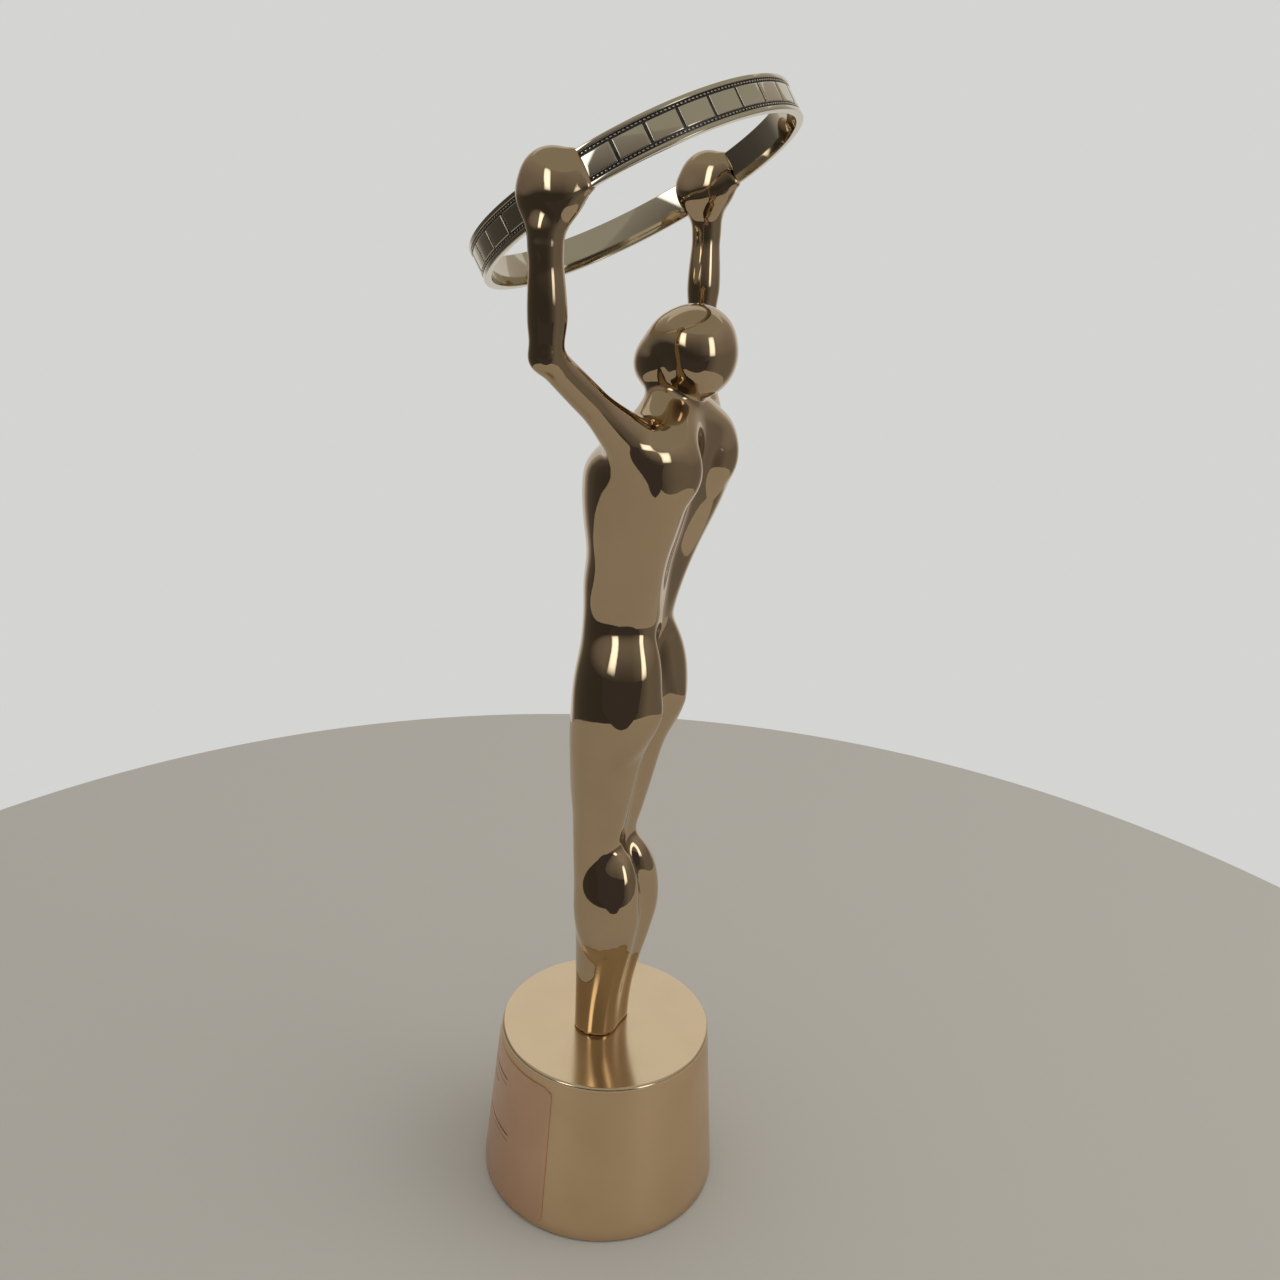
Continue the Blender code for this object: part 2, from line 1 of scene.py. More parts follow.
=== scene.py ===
# %% [markdown]
# # A figure trophy, polished to a mirror
#
# The trophy is a slim gold figure that looks up and holds a film-strip ring over its head. It stands on a
# turned base with a thin plate wrapped round the front. The frame of the real thing (sizes, places and what
# touches what) comes from the CAD model, which loads first and never moves. This lesson makes the looks:
# one seamless polished skin for the figure, the detail of the ring, the turned base, and every finish.

# %% Load the frame
import json
import math

import bpy
import numpy as np
from mathutils import Matrix, Vector

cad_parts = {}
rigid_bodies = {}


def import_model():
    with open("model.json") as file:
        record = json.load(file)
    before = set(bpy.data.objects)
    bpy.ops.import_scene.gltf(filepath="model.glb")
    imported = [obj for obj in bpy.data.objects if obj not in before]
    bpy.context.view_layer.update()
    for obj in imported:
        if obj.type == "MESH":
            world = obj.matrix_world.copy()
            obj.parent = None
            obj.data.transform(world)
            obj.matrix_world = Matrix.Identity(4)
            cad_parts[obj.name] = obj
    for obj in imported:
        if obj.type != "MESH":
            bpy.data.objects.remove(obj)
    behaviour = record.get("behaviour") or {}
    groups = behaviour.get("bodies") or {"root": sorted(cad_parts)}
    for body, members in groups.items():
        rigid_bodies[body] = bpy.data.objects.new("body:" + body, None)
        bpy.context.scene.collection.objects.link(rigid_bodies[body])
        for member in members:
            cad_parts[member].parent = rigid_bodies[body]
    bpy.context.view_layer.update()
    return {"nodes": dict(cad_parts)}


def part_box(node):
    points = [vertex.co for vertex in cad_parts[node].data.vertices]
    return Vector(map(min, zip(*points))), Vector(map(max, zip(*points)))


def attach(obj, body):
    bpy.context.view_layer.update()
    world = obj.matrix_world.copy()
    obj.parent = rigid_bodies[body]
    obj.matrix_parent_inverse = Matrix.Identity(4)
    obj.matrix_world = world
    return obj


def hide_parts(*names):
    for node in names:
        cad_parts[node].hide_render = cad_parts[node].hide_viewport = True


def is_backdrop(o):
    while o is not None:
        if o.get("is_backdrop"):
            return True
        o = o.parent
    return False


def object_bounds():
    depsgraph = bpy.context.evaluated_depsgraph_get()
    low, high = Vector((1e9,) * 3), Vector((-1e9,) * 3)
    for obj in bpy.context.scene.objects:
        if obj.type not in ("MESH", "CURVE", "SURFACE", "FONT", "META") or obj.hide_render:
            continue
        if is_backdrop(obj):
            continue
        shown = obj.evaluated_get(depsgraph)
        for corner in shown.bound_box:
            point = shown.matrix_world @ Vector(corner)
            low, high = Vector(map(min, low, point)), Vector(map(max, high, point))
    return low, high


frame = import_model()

MM = 0.001

# %% [markdown]
# ## Marks taken from the frame
#
# The figure is sculpted in millimetres above the soles, so the sculpture moves with the CAD model. The soles
# are the lowest point of the body casting. The ring is a tilted hoop: its radius and its centre come from the
# boxes of its two arcs.

# %% Measure the frame
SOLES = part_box("torso_and_legs")[0].z
front_low, front_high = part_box("ring_front_arc")
rear_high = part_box("ring_rear_arc")[1]
shell_low, shell_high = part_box("base_shell")
plate_low, plate_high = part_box("nameplate")

BAND_WIDTH = 10.75 * MM
BAND_THICKNESS = 2.4 * MM
RING_RADIUS = (front_high.x - front_low.x) / 2
RING_TILT = math.radians(32.9)
ring_middle = Vector((0, (front_low.y + rear_high.y) / 2, (front_low.z + rear_high.z) / 2))
RING = Matrix.Translation(ring_middle) @ Matrix.Rotation(RING_TILT, 4, "X")
print("soles", round(SOLES / MM, 1), "mm, ring centre", [round(v / MM, 1) for v in ring_middle],
      "radius", round(RING_RADIUS / MM, 1))

# %% [markdown]
# ## The figure as clay
#
# A mirror finish shows every dent, so the figure needs a skin with no seams and no wobble. Modelling it face
# by face, or as a subdivision cage, makes it hard to keep the reflections clean where the arms grow out of
# the shoulders. Here the figure is described as clay instead: a distance from any point in space to the
# surface of each lump, with the lumps pressed together softly. A skin is then laid where that distance is
# zero. The first lump is the body. Its width, front, back and grooves are listed at a few heights, and a
# smooth curve runs through them.

# %% Body measures
# Height above the soles, half width, front, back, depth of the back groove, depth of the front groove and
# width of the back groove (all mm), then the roundness of the rear half: 2 is an ellipse, more is boxier.
BODY_LEVELS = np.array([
    (-6, 12.3, -11.5, 7.5, 1.7, 2.0, 5.5, 2.25),
    (0, 12.3, -11.5, 7.5, 1.7, 2.0, 5.5, 2.25),         # soles
    (15, 12.3, -11.9, 8.8, 2.8, 2.0, 5.5, 2.25),        # ankles
    (29, 13.0, -12.4, 11.9, 4.7, 2.0, 5.5, 2.25),
    (43, 14.8, -12.7, 15.2, 6.4, 2.0, 5.5, 2.25),
    (55, 14.8, -13.6, 16.8, 7.3, 2.0, 5.5, 2.25),       # calves
    (67, 13.6, -14.8, 12.1, 4.9, 2.0, 5.5, 2.25),
    (81, 13.2, -15.3, 6.1, 2.8, 2.0, 5.5, 2.25),        # knees
    (91, 14.6, -15.5, 8.3, 4.9, 2.0, 5.5, 2.25),
    (105, 17.8, -16.2, 11.0, 6.0, 2.0, 5.5, 2.25),      # thighs
    (117, 21.0, -15.9, 13.2, 6.8, 1.8, 5.5, 2.25),
    (128, 22.3, -16.3, 17.0, 8.8, 1.5, 5.5, 2.25),
    (138, 21.0, -16.8, 21.6, 11.8, 1.0, 5.5, 2.25),     # seat
    (148, 18.6, -16.2, 19.5, 10.4, 0.5, 5.5, 2.25),
    (158, 16.6, -14.9, 16.0, 6.8, 0.3, 6.0, 2.25),
    (169, 15.8, -14.5, 15.4, 2.2, 0.5, 7.0, 2.3),       # waist
    (181, 18.0, -14.4, 17.2, 3.2, 0.8, 8.0, 2.8),
    (193, 21.2, -12.8, 20.5, 6.2, 1.0, 9.5, 3.2),
    (205, 25.0, -13.8, 24.8, 8.4, 1.2, 10.5, 3.4),      # chest
    (216, 28.2, -13.9, 28.2, 10.2, 1.2, 11.0, 3.3),
    (225, 30.0, -11.9, 29.6, 10.4, 0.8, 11.0, 2.8),     # shoulder blades
    (232, 29.4, -5.0, 29.8, 9.0, 0.5, 11.0, 2.5),
    (238, 24.0, 0.6, 27.6, 5.0, 0.3, 10.0, 2.3),
    (244, 14.0, 4.0, 22.8, 1.5, 0.1, 9.0, 2.1),          # foot of the neck
    (251, 7.6, 4.8, 20.0, 0.0, 0.0, 8.0, 2.0),
    (262, 7.4, 4.8, 19.6, 0.0, 0.0, 8.0, 2.0),          # inside the head
])
LEVEL_STEP = 0.25       # mm between the heights of the smooth curve
BLUR = 2.6              # mm, evens out the curve between the listed heights


def smooth_levels(levels):
    """Resample the listed measures along a curve with no kinks."""
    heights = np.arange(levels[0, 0], levels[-1, 0], LEVEL_STEP)
    count = int(4 * BLUR / LEVEL_STEP)
    reach = np.arange(-count, count + 1) * LEVEL_STEP
    weights = np.exp(-(reach / BLUR) ** 2 / 2)
    weights /= weights.sum()
    slopes = np.gradient(levels[:, 1:], levels[:, 0], axis=0)
    upper = np.clip(np.searchsorted(levels[:, 0], heights), 1, len(levels) - 1)
    lower = upper - 1
    span = (levels[upper, 0] - levels[lower, 0])[:, None]
    t = (heights - levels[lower, 0])[:, None] / span
    curve = ((2 * t**3 - 3 * t**2 + 1) * levels[lower, 1:] + (t**3 - 2 * t**2 + t) * span * slopes[lower]
             + (3 * t**2 - 2 * t**3) * levels[upper, 1:] + (t**3 - t**2) * span * slopes[upper])
    padded = np.pad(curve, ((count, count), (0, 0)), mode="edge")
    columns = [np.convolve(padded[:, c], weights, mode="valid") for c in range(curve.shape[1])]
    return heights, np.stack(columns, 1)


body_heights, body_curve = smooth_levels(BODY_LEVELS)
print("body curve:", body_curve.shape[0], "heights")

# %% [markdown]
# ## Lumps of clay
#
# Three kinds of lump are enough: a soft-edged limb between two points with a radius at each end, an egg with
# three radii, and a rounded block. `press` joins two lumps and rounds the valley between them, the way a
# thumb smooths clay into a joint. A limb that bends is a chain of limbs. They share a round end of the same
# size, so they only need the nearer of the two, and pressing them would swell the joint.

# %% Lump shapes
# How wide the valley is rounded where two lumps meet, in mm.
VALLEY = {"muscle": 2.5, "elbow": 2.5, "shoulder": 5.0, "neck": 3.5,
          "ball": 3.0, "palm": 3.0, "heel": 2.5, "wrist": 3.6}


def press(a, b, width):
    """The nearer of two surfaces, with a valley rounded over the given width and no crease at its edges."""
    reach = 1.5 * width
    overlap = np.maximum(reach - np.abs(a - b), 0) / reach
    return np.minimum(a, b) - overlap ** 3 * reach / 6


def limb(points, start, end, start_radius, end_radius):
    """Distance to a tapering round limb."""
    axis = np.subtract(end, start)
    along = np.clip((points - start) @ axis / (axis @ axis), 0, 1)
    nearest = start + along[:, None] * axis
    eased = along * along * (3 - 2 * along)
    return np.linalg.norm(points - nearest, axis=1) - (start_radius + (end_radius - start_radius) * eased)


def chain(points, marks):
    """Distance to a limb that runs through several marks, each a place and a radius."""
    return np.minimum.reduce([limb(points, start, end, start_radius, end_radius)
                              for (start, start_radius), (end, end_radius) in zip(marks, marks[1:])])


def egg(points, centre, radii, turn=None):
    """Distance to an egg with three radii, turned by a 3x3 matrix."""
    local = points - centre
    if turn is not None:
        local = local @ turn
    scaled = np.linalg.norm(local / radii, axis=1)
    pull = np.linalg.norm(local / np.square(radii), axis=1)
    return scaled * (scaled - 1) / np.maximum(pull, 1e-6)


def block(local, half_size, rounding):
    """Distance to a rounded block in its own axes."""
    outside = np.abs(local) - (half_size - rounding)
    return (np.linalg.norm(np.maximum(outside, 0), axis=1)
            + np.minimum(outside.max(axis=1), 0) - rounding)


def turned(degrees, axis):
    """A 3x3 turn about an axis. Points times this matrix are points in the turned axes."""
    return np.array(Matrix.Rotation(math.radians(degrees), 3, axis))


one = np.array([1.0])
print("two lumps 1 mm away, pressed:", press(one, one, VALLEY["elbow"]).round(2), "mm")

# %% [markdown]
# ## Where the arms go
#
# The hands close round the ring a little behind its side line. The forearms hang straight down from them to
# the elbows, and the upper arms slope in to the shoulders. Both arms are one description, because the clay
# is worked in mirror: the sideways distance is always taken as positive.

# %% Arm marks
def clay(point):
    """A frame point in metres as clay millimetres above the soles."""
    return np.array([point.x, point.y, point.z - SOLES]) / MM


HAND_BEHIND_SIDE = math.radians(2.8)
MIDDLE_RADIUS = RING_RADIUS - BAND_THICKNESS / 2        # to the middle of the band's thickness
hand_frame = RING @ Matrix.Rotation(HAND_BEHIND_SIDE, 4, "Z")
HAND = clay(hand_frame @ Vector((MIDDLE_RADIUS, 0, 0)))
WRIST = HAND + (2.6, -1.4, -11.0)
ELBOW = WRIST + (-1.0, 0.8, -34.0)
SHOULDER = np.array([21.5, 12.0, 230.5])
print("hand", HAND.round(1), "elbow", ELBOW.round(1), "shoulder", SHOULDER)

# %% [markdown]
# ## The body
#
# At each height the body is a rounded box: nearly an ellipse in front, and squarer behind, over the shoulder
# blades. A soft dip down the middle of the back parts the legs, the seat and the two sides of the back, and a
# shallower one runs down the front. The dips fade out towards the other side, so neither cuts through.

# %% Body lump
FRONT_GROOVE_WIDTH = 5.5
FRONT_ROUNDNESS = 2.2
SIDE_SOFTNESS = 0.04        # how gently a groove fades out at the side line
NECK_TOP = 258              # inside the head


def body(points, side):
    """Distance to the body, with grooves down its back and front."""
    height = points[:, 2]
    half_width, front, back, back_groove, front_groove, groove_width, roundness = (
        np.interp(height, body_heights, body_curve[:, c]) for c in range(7))
    middle = (front + back) / 2
    depth = (back - front) / 2
    v = (points[:, 1] - middle) / depth
    behind = (v + np.sqrt(v * v + SIDE_SOFTNESS)) / 2
    ahead = behind - v
    back_dip = back_groove * np.exp(-(side / groove_width) ** 2) * behind
    front_dip = front_groove * np.exp(-(side / FRONT_GROOVE_WIDTH) ** 2) * ahead
    along = v + (back_dip - front_dip) / depth
    across = side / half_width
    roundness = np.where(v > 0, roundness, FRONT_ROUNDNESS)
    reach = (np.abs(across) ** roundness + np.abs(along) ** roundness) ** (1 / roundness)
    radial = np.hypot(side, along * depth)
    return np.maximum(radial * (1 - 1 / np.maximum(reach, 1e-6)), height - NECK_TOP)


in_front = np.array([[0.0, -60.0, 169.0]])
print("from 60 mm ahead of the waist to the body:", body(in_front, in_front[:, 0]).round(1), "mm")

# %% [markdown]
# ## Muscles
#
# The shoulder blades, the hips and the calves stand out from the body as rounded masses, each with its own
# soft highlight. They could be squeezed into the list of levels, but an egg pressed into the body says the
# same with a place and three radii. The hip and the calf lean a little, so they follow the line of the leg.

# %% Muscle lumps
LEAN = turned(-9, "Y")
# Centre and radii in mm, and the lean.
MUSCLES = [((14.5, 18.0, 225.0), (9.5, 11.5, 13.0), None),      # shoulder blade
           ((10.8, 3.0, 145.0), (11.8, 15.6, 28.0), LEAN),      # hip
           ((8.6, 1.8, 59.0), (8.7, 12.2, 22.5), LEAN)]         # calf


def muscles(points):
    """Distance to the rounded masses that stand out from the body."""
    return np.minimum.reduce([egg(points, *muscle) for muscle in MUSCLES])


print("muscles on each side:", len(MUSCLES))

# %% [markdown]
# ## Arms and hands
#
# A raised arm is a chain from the shoulder to the elbow, and another up to the wrist with a slight swell
# near the elbow. The hand is closed on the ring and has no fingers, as on a smooth cast
# figure. Four lumps make it: a sleeve that wraps the band, a ball over it, and the palm and its heel, which
# run down to the wrist.

# %% Arm and hand lumps
UPPER_ARM = [(SHOULDER, 8.6), (SHOULDER * 0.45 + ELBOW * 0.55, 5.0), (ELBOW, 4.6)]
FOREARM = [(ELBOW, 4.7), (ELBOW + (0, 0, 11), 5.7), (WRIST, 4.4)]
HAND_ROOT = WRIST * 0.88 + ELBOW * 0.12
PALM = [(HAND_ROOT, 3.0), (HAND + (0.0, 1.2, -2.4), 5.7)]
HEEL = [(HAND_ROOT, 3.0), (HAND + (0.0, -5.0, -3.4), 6.3)]
# These two are laid flat on the band: outwards, along it, and across its width.
SLEEVE_HALF_SIZE = np.array([BAND_THICKNESS, 0, BAND_WIDTH]) / MM / 2 + (0.7, 10.0, 0.5)
SLEEVE_ROUNDING = 1.5
BALL = ((0.2, -0.8, 1.1), (6.4, 10.2, 9.9))
HAND_TURN = np.array(hand_frame.to_3x3())


def arm(points):
    """Distance to one raised arm, from the shoulder to the wrist."""
    return press(chain(points, UPPER_ARM), chain(points, FOREARM), VALLEY["elbow"])


def hand(points):
    """Distance to the closed hand: a sleeve on the band, a ball over it, and the palm and its heel."""
    local = (points - clay(RING.translation)) @ HAND_TURN
    radius = np.hypot(local[:, 0], local[:, 1])
    along = np.arctan2(local[:, 1], local[:, 0]) * radius
    flat = np.stack([radius - MIDDLE_RADIUS / MM, along, local[:, 2]], 1)
    shape = press(block(flat, SLEEVE_HALF_SIZE, SLEEVE_ROUNDING), egg(flat, *BALL), VALLEY["ball"])
    shape = press(shape, chain(points, PALM), VALLEY["palm"])
    return press(shape, chain(points, HEEL), VALLEY["heel"])


print("upper arm", np.linalg.norm(SHOULDER - ELBOW).round(1), "mm, forearm",
      np.linalg.norm(ELBOW - WRIST).round(1), "mm")

# %% [markdown]
# ## The head
#
# The head is tipped well back. The face is plain and the hair is a smooth bob, with a crease between them at
# the jaw that melts away towards the brow. Two eggs do this, and the width of the valley grows with height,
# so the line fades by itself. The neck is part of the body's levels.

# %% Head lumps
HEAD_MIDDLE = np.array([0, 12.3, 260.5])
FACE = (HEAD_MIDDLE + (0, -1.0, -3.2), (11.2, 13.8, 10.6), turned(34, "X"))
HAIR = (HEAD_MIDDLE + (0, 7.2, -1.4), (13.0, 12.4, 13.9))
CREASE_FOOT = -6            # mm from the middle of the head, where the crease starts to widen
CREASE_RUN = 16             # mm over which it widens
CREASE_WIDTHS = (1.2, 11.2)


def head(points):
    """Distance to the head: a plain face and bobbed hair, with a crease where they meet."""
    up = np.clip((points[:, 2] - HEAD_MIDDLE[2] - CREASE_FOOT) / CREASE_RUN, 0, 1)
    narrow, wide = CREASE_WIDTHS
    crease = narrow + (wide - narrow) * up * up * (3 - 2 * up)
    return press(egg(points, *FACE), egg(points, *HAIR), crease)


print("middle of the head", HEAD_MIDDLE, "mm")

# %% [markdown]
# ## The whole figure
#
# The lumps are pressed together one after another, from the body out to the hands. The valley is widest at
# the shoulder, where the cast figure flows from chest to arm with no line at all. The soles are cut flat.

# %% Whole figure
def figure(points):
    """Distance from points (clay millimetres) to the whole figure."""
    side = np.abs(points[:, 0])
    folded = np.column_stack([side, points[:, 1], points[:, 2]])
    shape = press(body(points, side), muscles(folded), VALLEY["muscle"])
    shape = press(shape, arm(folded), VALLEY["shoulder"])
    shape = press(shape, head(folded), VALLEY["neck"])
    shape = press(shape, hand(folded), VALLEY["wrist"])
    return np.maximum(shape, -points[:, 2])


print("the middle of the chest is", -figure(np.array([[0.0, 5.0, 205.0]])).round(1), "mm deep in the clay")

# %% [markdown]
# ## Laying the skin
#
# The clay is measured on a fine grid. Every grid cell that the surface passes through gets one point, and
# neighbouring points are joined into four-sided faces. The points are then slid along the steepest way onto
# the true surface, relaxed sideways so that the faces are even, and slid back. The result follows the clay to
# a few thousandths of a millimetre, which is what keeps the reflections clean. Metaballs or a voxel remesh
# are quicker to set up, but they leave steps that a mirror shows.

# %% Slide points onto the clay
PROBE = 0.05                # mm either side of a point, to feel which way the surface lies
LEAST_RATE = 0.2            # keeps a flat spot from throwing a point far away
LONGEST_SLIDE = 0.6         # mm in one round


def steepest(shape, points):
    """Unit direction in which the distance grows fastest, and its rate."""
    rates = []
    for axis in range(3):
        shift = np.zeros(3)
        shift[axis] = PROBE
        rates.append((shape(points + shift) - shape(points - shift)) / (2 * PROBE))
    rates = np.stack(rates, 1)
    size = np.linalg.norm(rates, axis=1, keepdims=True)
    return rates / np.maximum(size, 1e-9), np.maximum(size[:, 0], LEAST_RATE)


def settle(shape, points, rounds=3):
    """Slide points onto the surface."""
    for _ in range(rounds):
        direction, rate = steepest(shape, points)
        move = np.clip(shape(points) / rate, -LONGEST_SLIDE, LONGEST_SLIDE)
        points = points - direction * move[:, None]
    return points


slid = settle(figure, np.array([[0.0, -16.0, 169.0]]))
print("a point near the waist settles", abs(figure(slid)).round(4), "mm from the clay")

# %% Net of quads
def cell_net(shape, low, high, step):
    """One point for each grid cell that the surface crosses, and the quads that join them."""
    axes = [np.arange(a, b + step, step) for a, b in zip(low, high)]
    inside = np.empty([len(a) for a in axes], bool)
    flat = np.stack(np.meshgrid(axes[0], axes[1], indexing="ij"), -1).reshape(-1, 2)
    for k, height in enumerate(axes[2]):
        layer = np.column_stack([flat, np.full(len(flat), height)])
        inside[:, :, k] = (shape(layer) < 0).reshape(len(axes[0]), len(axes[1]))
    last = np.array(inside.shape) - 1
    corners = [(i, j, k) for i in (0, 1) for j in (0, 1) for k in (0, 1)]
    count = sum(inside[i:last[0] + i, j:last[1] + j, k:last[2] + k].astype(np.int8) for i, j, k in corners)
    active = (count > 0) & (count < len(corners))
    index = np.full(active.shape, -1)
    index[active] = np.arange(active.sum())
    cells = np.argwhere(active)
    points = np.column_stack([axes[a][cells[:, a]] + step / 2 for a in range(3)])
    quads = []
    for axis in range(3):
        first = np.moveaxis(inside, axis, 0)[:-1]
        second = np.moveaxis(inside, axis, 0)[1:]
        net = np.moveaxis(index, axis, 0)
        a, b, c = (np.argwhere((first != second)[:, 1:-1, 1:-1]) + (0, 1, 1)).T
        around = np.stack([net[a, b, c], net[a, b - 1, c], net[a, b - 1, c - 1], net[a, b, c - 1]], 1)
        leaving = first[a, b, c]
        if axis == 1:
            leaving = ~leaving
        quads.append(np.where(leaving[:, None], around, around[:, ::-1]))
    return points, np.concatenate(quads)


def relax(points, quads):
    """Move each point half way to the middle of the faces round it."""
    middles = points[quads].mean(axis=1)
    total = np.zeros_like(points)
    share = np.zeros(len(points))
    for corner in range(4):
        np.add.at(total, quads[:, corner], middles)
        np.add.at(share, quads[:, corner], 1)
    return (points + total / share[:, None]) / 2


def skin(shape, low, high, step, rounds=3):
    """A settled net of quads over a clay shape."""
    points, quads = cell_net(shape, low, high, step)
    points = settle(shape, points)
    for _ in range(rounds):
        points = settle(shape, relax(points, quads), rounds=1)
    return settle(shape, points, rounds=2), quads


trial_points, trial_quads = skin(lambda p: np.linalg.norm(p, axis=1) - 10, (-12,) * 3, (12,) * 3, 2.0)
print("a trial ball:", len(trial_points), "points and", len(trial_quads), "quads")

# %% [markdown]
# ## Finishes
#
# Each metal is one Principled shader set to fully metallic. What tells them apart is the tint, and how clean
# the polish is. A real polished surface is never perfectly even: handling leaves faint duller clouds, and the
# lathe leaves fine rings. Painted images could show this, but noise has no seams and needs no unwrapping. So
# each finish drives its colour and roughness with soft noise, and the rougher ones add a very small bump.

# %% Finish helpers
NOISE_RANGE = (0.3, 0.7)        # where most of a noise texture's values fall


def new_material(name):
    """An empty node material with its shader."""
    material = bpy.data.materials.new(name)
    material.use_nodes = True
    nodes = material.node_tree.nodes
    return material, nodes, material.node_tree.links, nodes["Principled BSDF"]


def noise(nodes, links, scale, detail, stretch=(1, 1, 1)):
    """A noise texture in the object's own metres."""
    place = nodes.new("ShaderNodeTexCoord")
    mapping = nodes.new("ShaderNodeMapping")
    mapping.inputs["Scale"].default_value = stretch
    texture = nodes.new("ShaderNodeTexNoise")
    texture.inputs["Scale"].default_value = scale
    texture.inputs["Detail"].default_value = detail
    links.new(place.outputs["Object"], mapping.inputs["Vector"])
    links.new(mapping.outputs["Vector"], texture.inputs["Vector"])
    return texture.outputs["Fac"]


def colour_between(nodes, links, fac, low, high):
    """Two tints mixed by a noise value."""
    ramp = nodes.new("ShaderNodeValToRGB")
    for stop, position, tint in zip(ramp.color_ramp.elements, NOISE_RANGE, (low, high)):
        stop.position = position
        stop.color = (*tint, 1)
    links.new(fac, ramp.inputs["Fac"])
    return ramp.outputs["Color"]


def between(nodes, links, fac, low, high, noise_range=NOISE_RANGE):
    """A number that follows a noise value."""
    spread = nodes.new("ShaderNodeMapRange")
    spread.inputs["From Min"].default_value, spread.inputs["From Max"].default_value = noise_range
    spread.inputs["To Min"].default_value = low
    spread.inputs["To Max"].default_value = high
    links.new(fac, spread.inputs["Value"])
    return spread.outputs["Result"]


def bump(nodes, links, fac, depth):
    """A small relief, with its depth in metres."""
    relief = nodes.new("ShaderNodeBump")
    relief.inputs["Strength"].default_value = 1.0
    relief.inputs["Distance"].default_value = depth
    links.new(fac, relief.inputs["Height"])
    return relief.outputs["Normal"]


print("materials that came with the frame:", len(bpy.data.materials))

# %% [markdown]
# ## Polished and satin metals
#
# The figure and the ring are buffed to mirrors. The side of the base is satin: the lathe has left rings so
# fine that they only show as a drawn-out highlight, and the plate is brushed the same way. Real grooves that
# small would need millions of faces, so the shader's anisotropy stretches the highlight instead, with its
# direction running round the upright axis.

# %% Metals
CLOUD_SCALE = 45.0              # clouds of duller polish, about 2 cm across
SMUDGE_RANGE = (0.45, 0.8)      # only the upper part of the noise dulls the polish
FINE_GRAIN = dict(grain=60.0, stretch=(1, 1, 60), lathe_sheen=0.8)
ACROSS_THE_RINGS = 0.25         # a quarter of a turn


def metal(name, tint, worn_tint, polish, smudge, grain=0.0, depth=0.0, stretch=(1, 1, 1), lathe_sheen=0.0):
    """A metal with clouds of slightly duller polish, a fine grain, and the sheen of lathe rings."""
    material, nodes, links, shader = new_material(name)
    shader.inputs["Metallic"].default_value = 1.0
    clouds = noise(nodes, links, CLOUD_SCALE, 3.0)
    links.new(colour_between(nodes, links, clouds, tint, worn_tint), shader.inputs["Base Color"])
    links.new(between(nodes, links, clouds, polish, smudge, SMUDGE_RANGE), shader.inputs["Roughness"])
    if depth:
        fine = noise(nodes, links, grain, 2.0, stretch)
        links.new(bump(nodes, links, fine, depth), shader.inputs["Normal"])
    if lathe_sheen:
        round_axis = nodes.new("ShaderNodeTangent")
        round_axis.direction_type = "RADIAL"
        round_axis.axis = "Z"
        links.new(round_axis.outputs["Tangent"], shader.inputs["Tangent"])
        shader.inputs["Anisotropic"].default_value = lathe_sheen
        shader.inputs["Anisotropic Rotation"].default_value = ACROSS_THE_RINGS
    return material


FIGURE_GOLD = metal("figure_gold_mirror", (0.56, 0.42, 0.265), (0.53, 0.395, 0.25), 0.03, 0.07)
RING_GOLD = metal("ring_gold_mirror", (0.68, 0.605, 0.465), (0.645, 0.57, 0.43), 0.05, 0.10)
# The top is the same gold as the side, only more finely polished. Its paler tint is painted light: the
# brighter reflection that the flat top shows.
BASE_TOP_POLISH_PAINTED_LIGHT = metal("base_gold_polished", (0.83, 0.65, 0.42), (0.80, 0.62, 0.40), 0.17, 0.22,
                    lathe_sheen=0.6)
BASE_SATIN = metal("base_gold_satin", (0.76, 0.545, 0.335), (0.73, 0.515, 0.315), 0.30, 0.36,
                   depth=0.00001, **FINE_GRAIN)
PLATE_COPPER = metal("plate_copper_satin", (0.72, 0.47, 0.315), (0.68, 0.43, 0.285), 0.24, 0.30,
                     depth=0.000003, **FINE_GRAIN)
PLATED_STEEL = metal("plated_steel", (0.62, 0.62, 0.60), (0.54, 0.55, 0.54), 0.25, 0.42,
                     grain=1500.0, depth=0.00002)
CAST_WEIGHT = metal("cast_weight", (0.16, 0.16, 0.17), (0.10, 0.09, 0.09), 0.55, 0.75,
                    grain=500.0, depth=0.0003)
print("materials with the metals:", len(bpy.data.materials))

# %% [markdown]
# ## Enamel and felt
#
# The black of the ring and of the plate's engraving is enamel that was filled in and wiped back, so it is
# glossy in places and duller in others. Under the base is a disc of pressed wool felt, matt and faintly pale
# at its edges. Both are noise on a plain shader, and the felt also gets some sheen.

# %% Enamel and felt finishes
def enamel(name):
    """Black enamel fill, slightly uneven where it was wiped back."""
    material, nodes, links, shader = new_material(name)
    clouds = noise(nodes, links, 700.0, 3.0)
    links.new(colour_between(nodes, links, clouds, (0.012, 0.010, 0.014), (0.035, 0.028, 0.034)),
              shader.inputs["Base Color"])
    links.new(between(nodes, links, clouds, 0.22, 0.5), shader.inputs["Roughness"])
    links.new(bump(nodes, links, clouds, 0.00006), shader.inputs["Normal"])
    return material


def felt(name):
    """Pressed wool felt: short fibres in every direction, with a little sheen."""
    material, nodes, links, shader = new_material(name)
    fibres = noise(nodes, links, 2600.0, 8.0)
    links.new(colour_between(nodes, links, fibres, (0.018, 0.018, 0.022), (0.055, 0.054, 0.06)),
              shader.inputs["Base Color"])
    links.new(bump(nodes, links, fibres, 0.0003), shader.inputs["Normal"])
    shader.inputs["Roughness"].default_value = 0.95
    shader.inputs["Sheen Weight"].default_value = 0.4
    return material


ENAMEL_BLACK = enamel("enamel_black")
FELT_BLACK = felt("felt_black")
print("materials with enamel and felt:", len(bpy.data.materials))
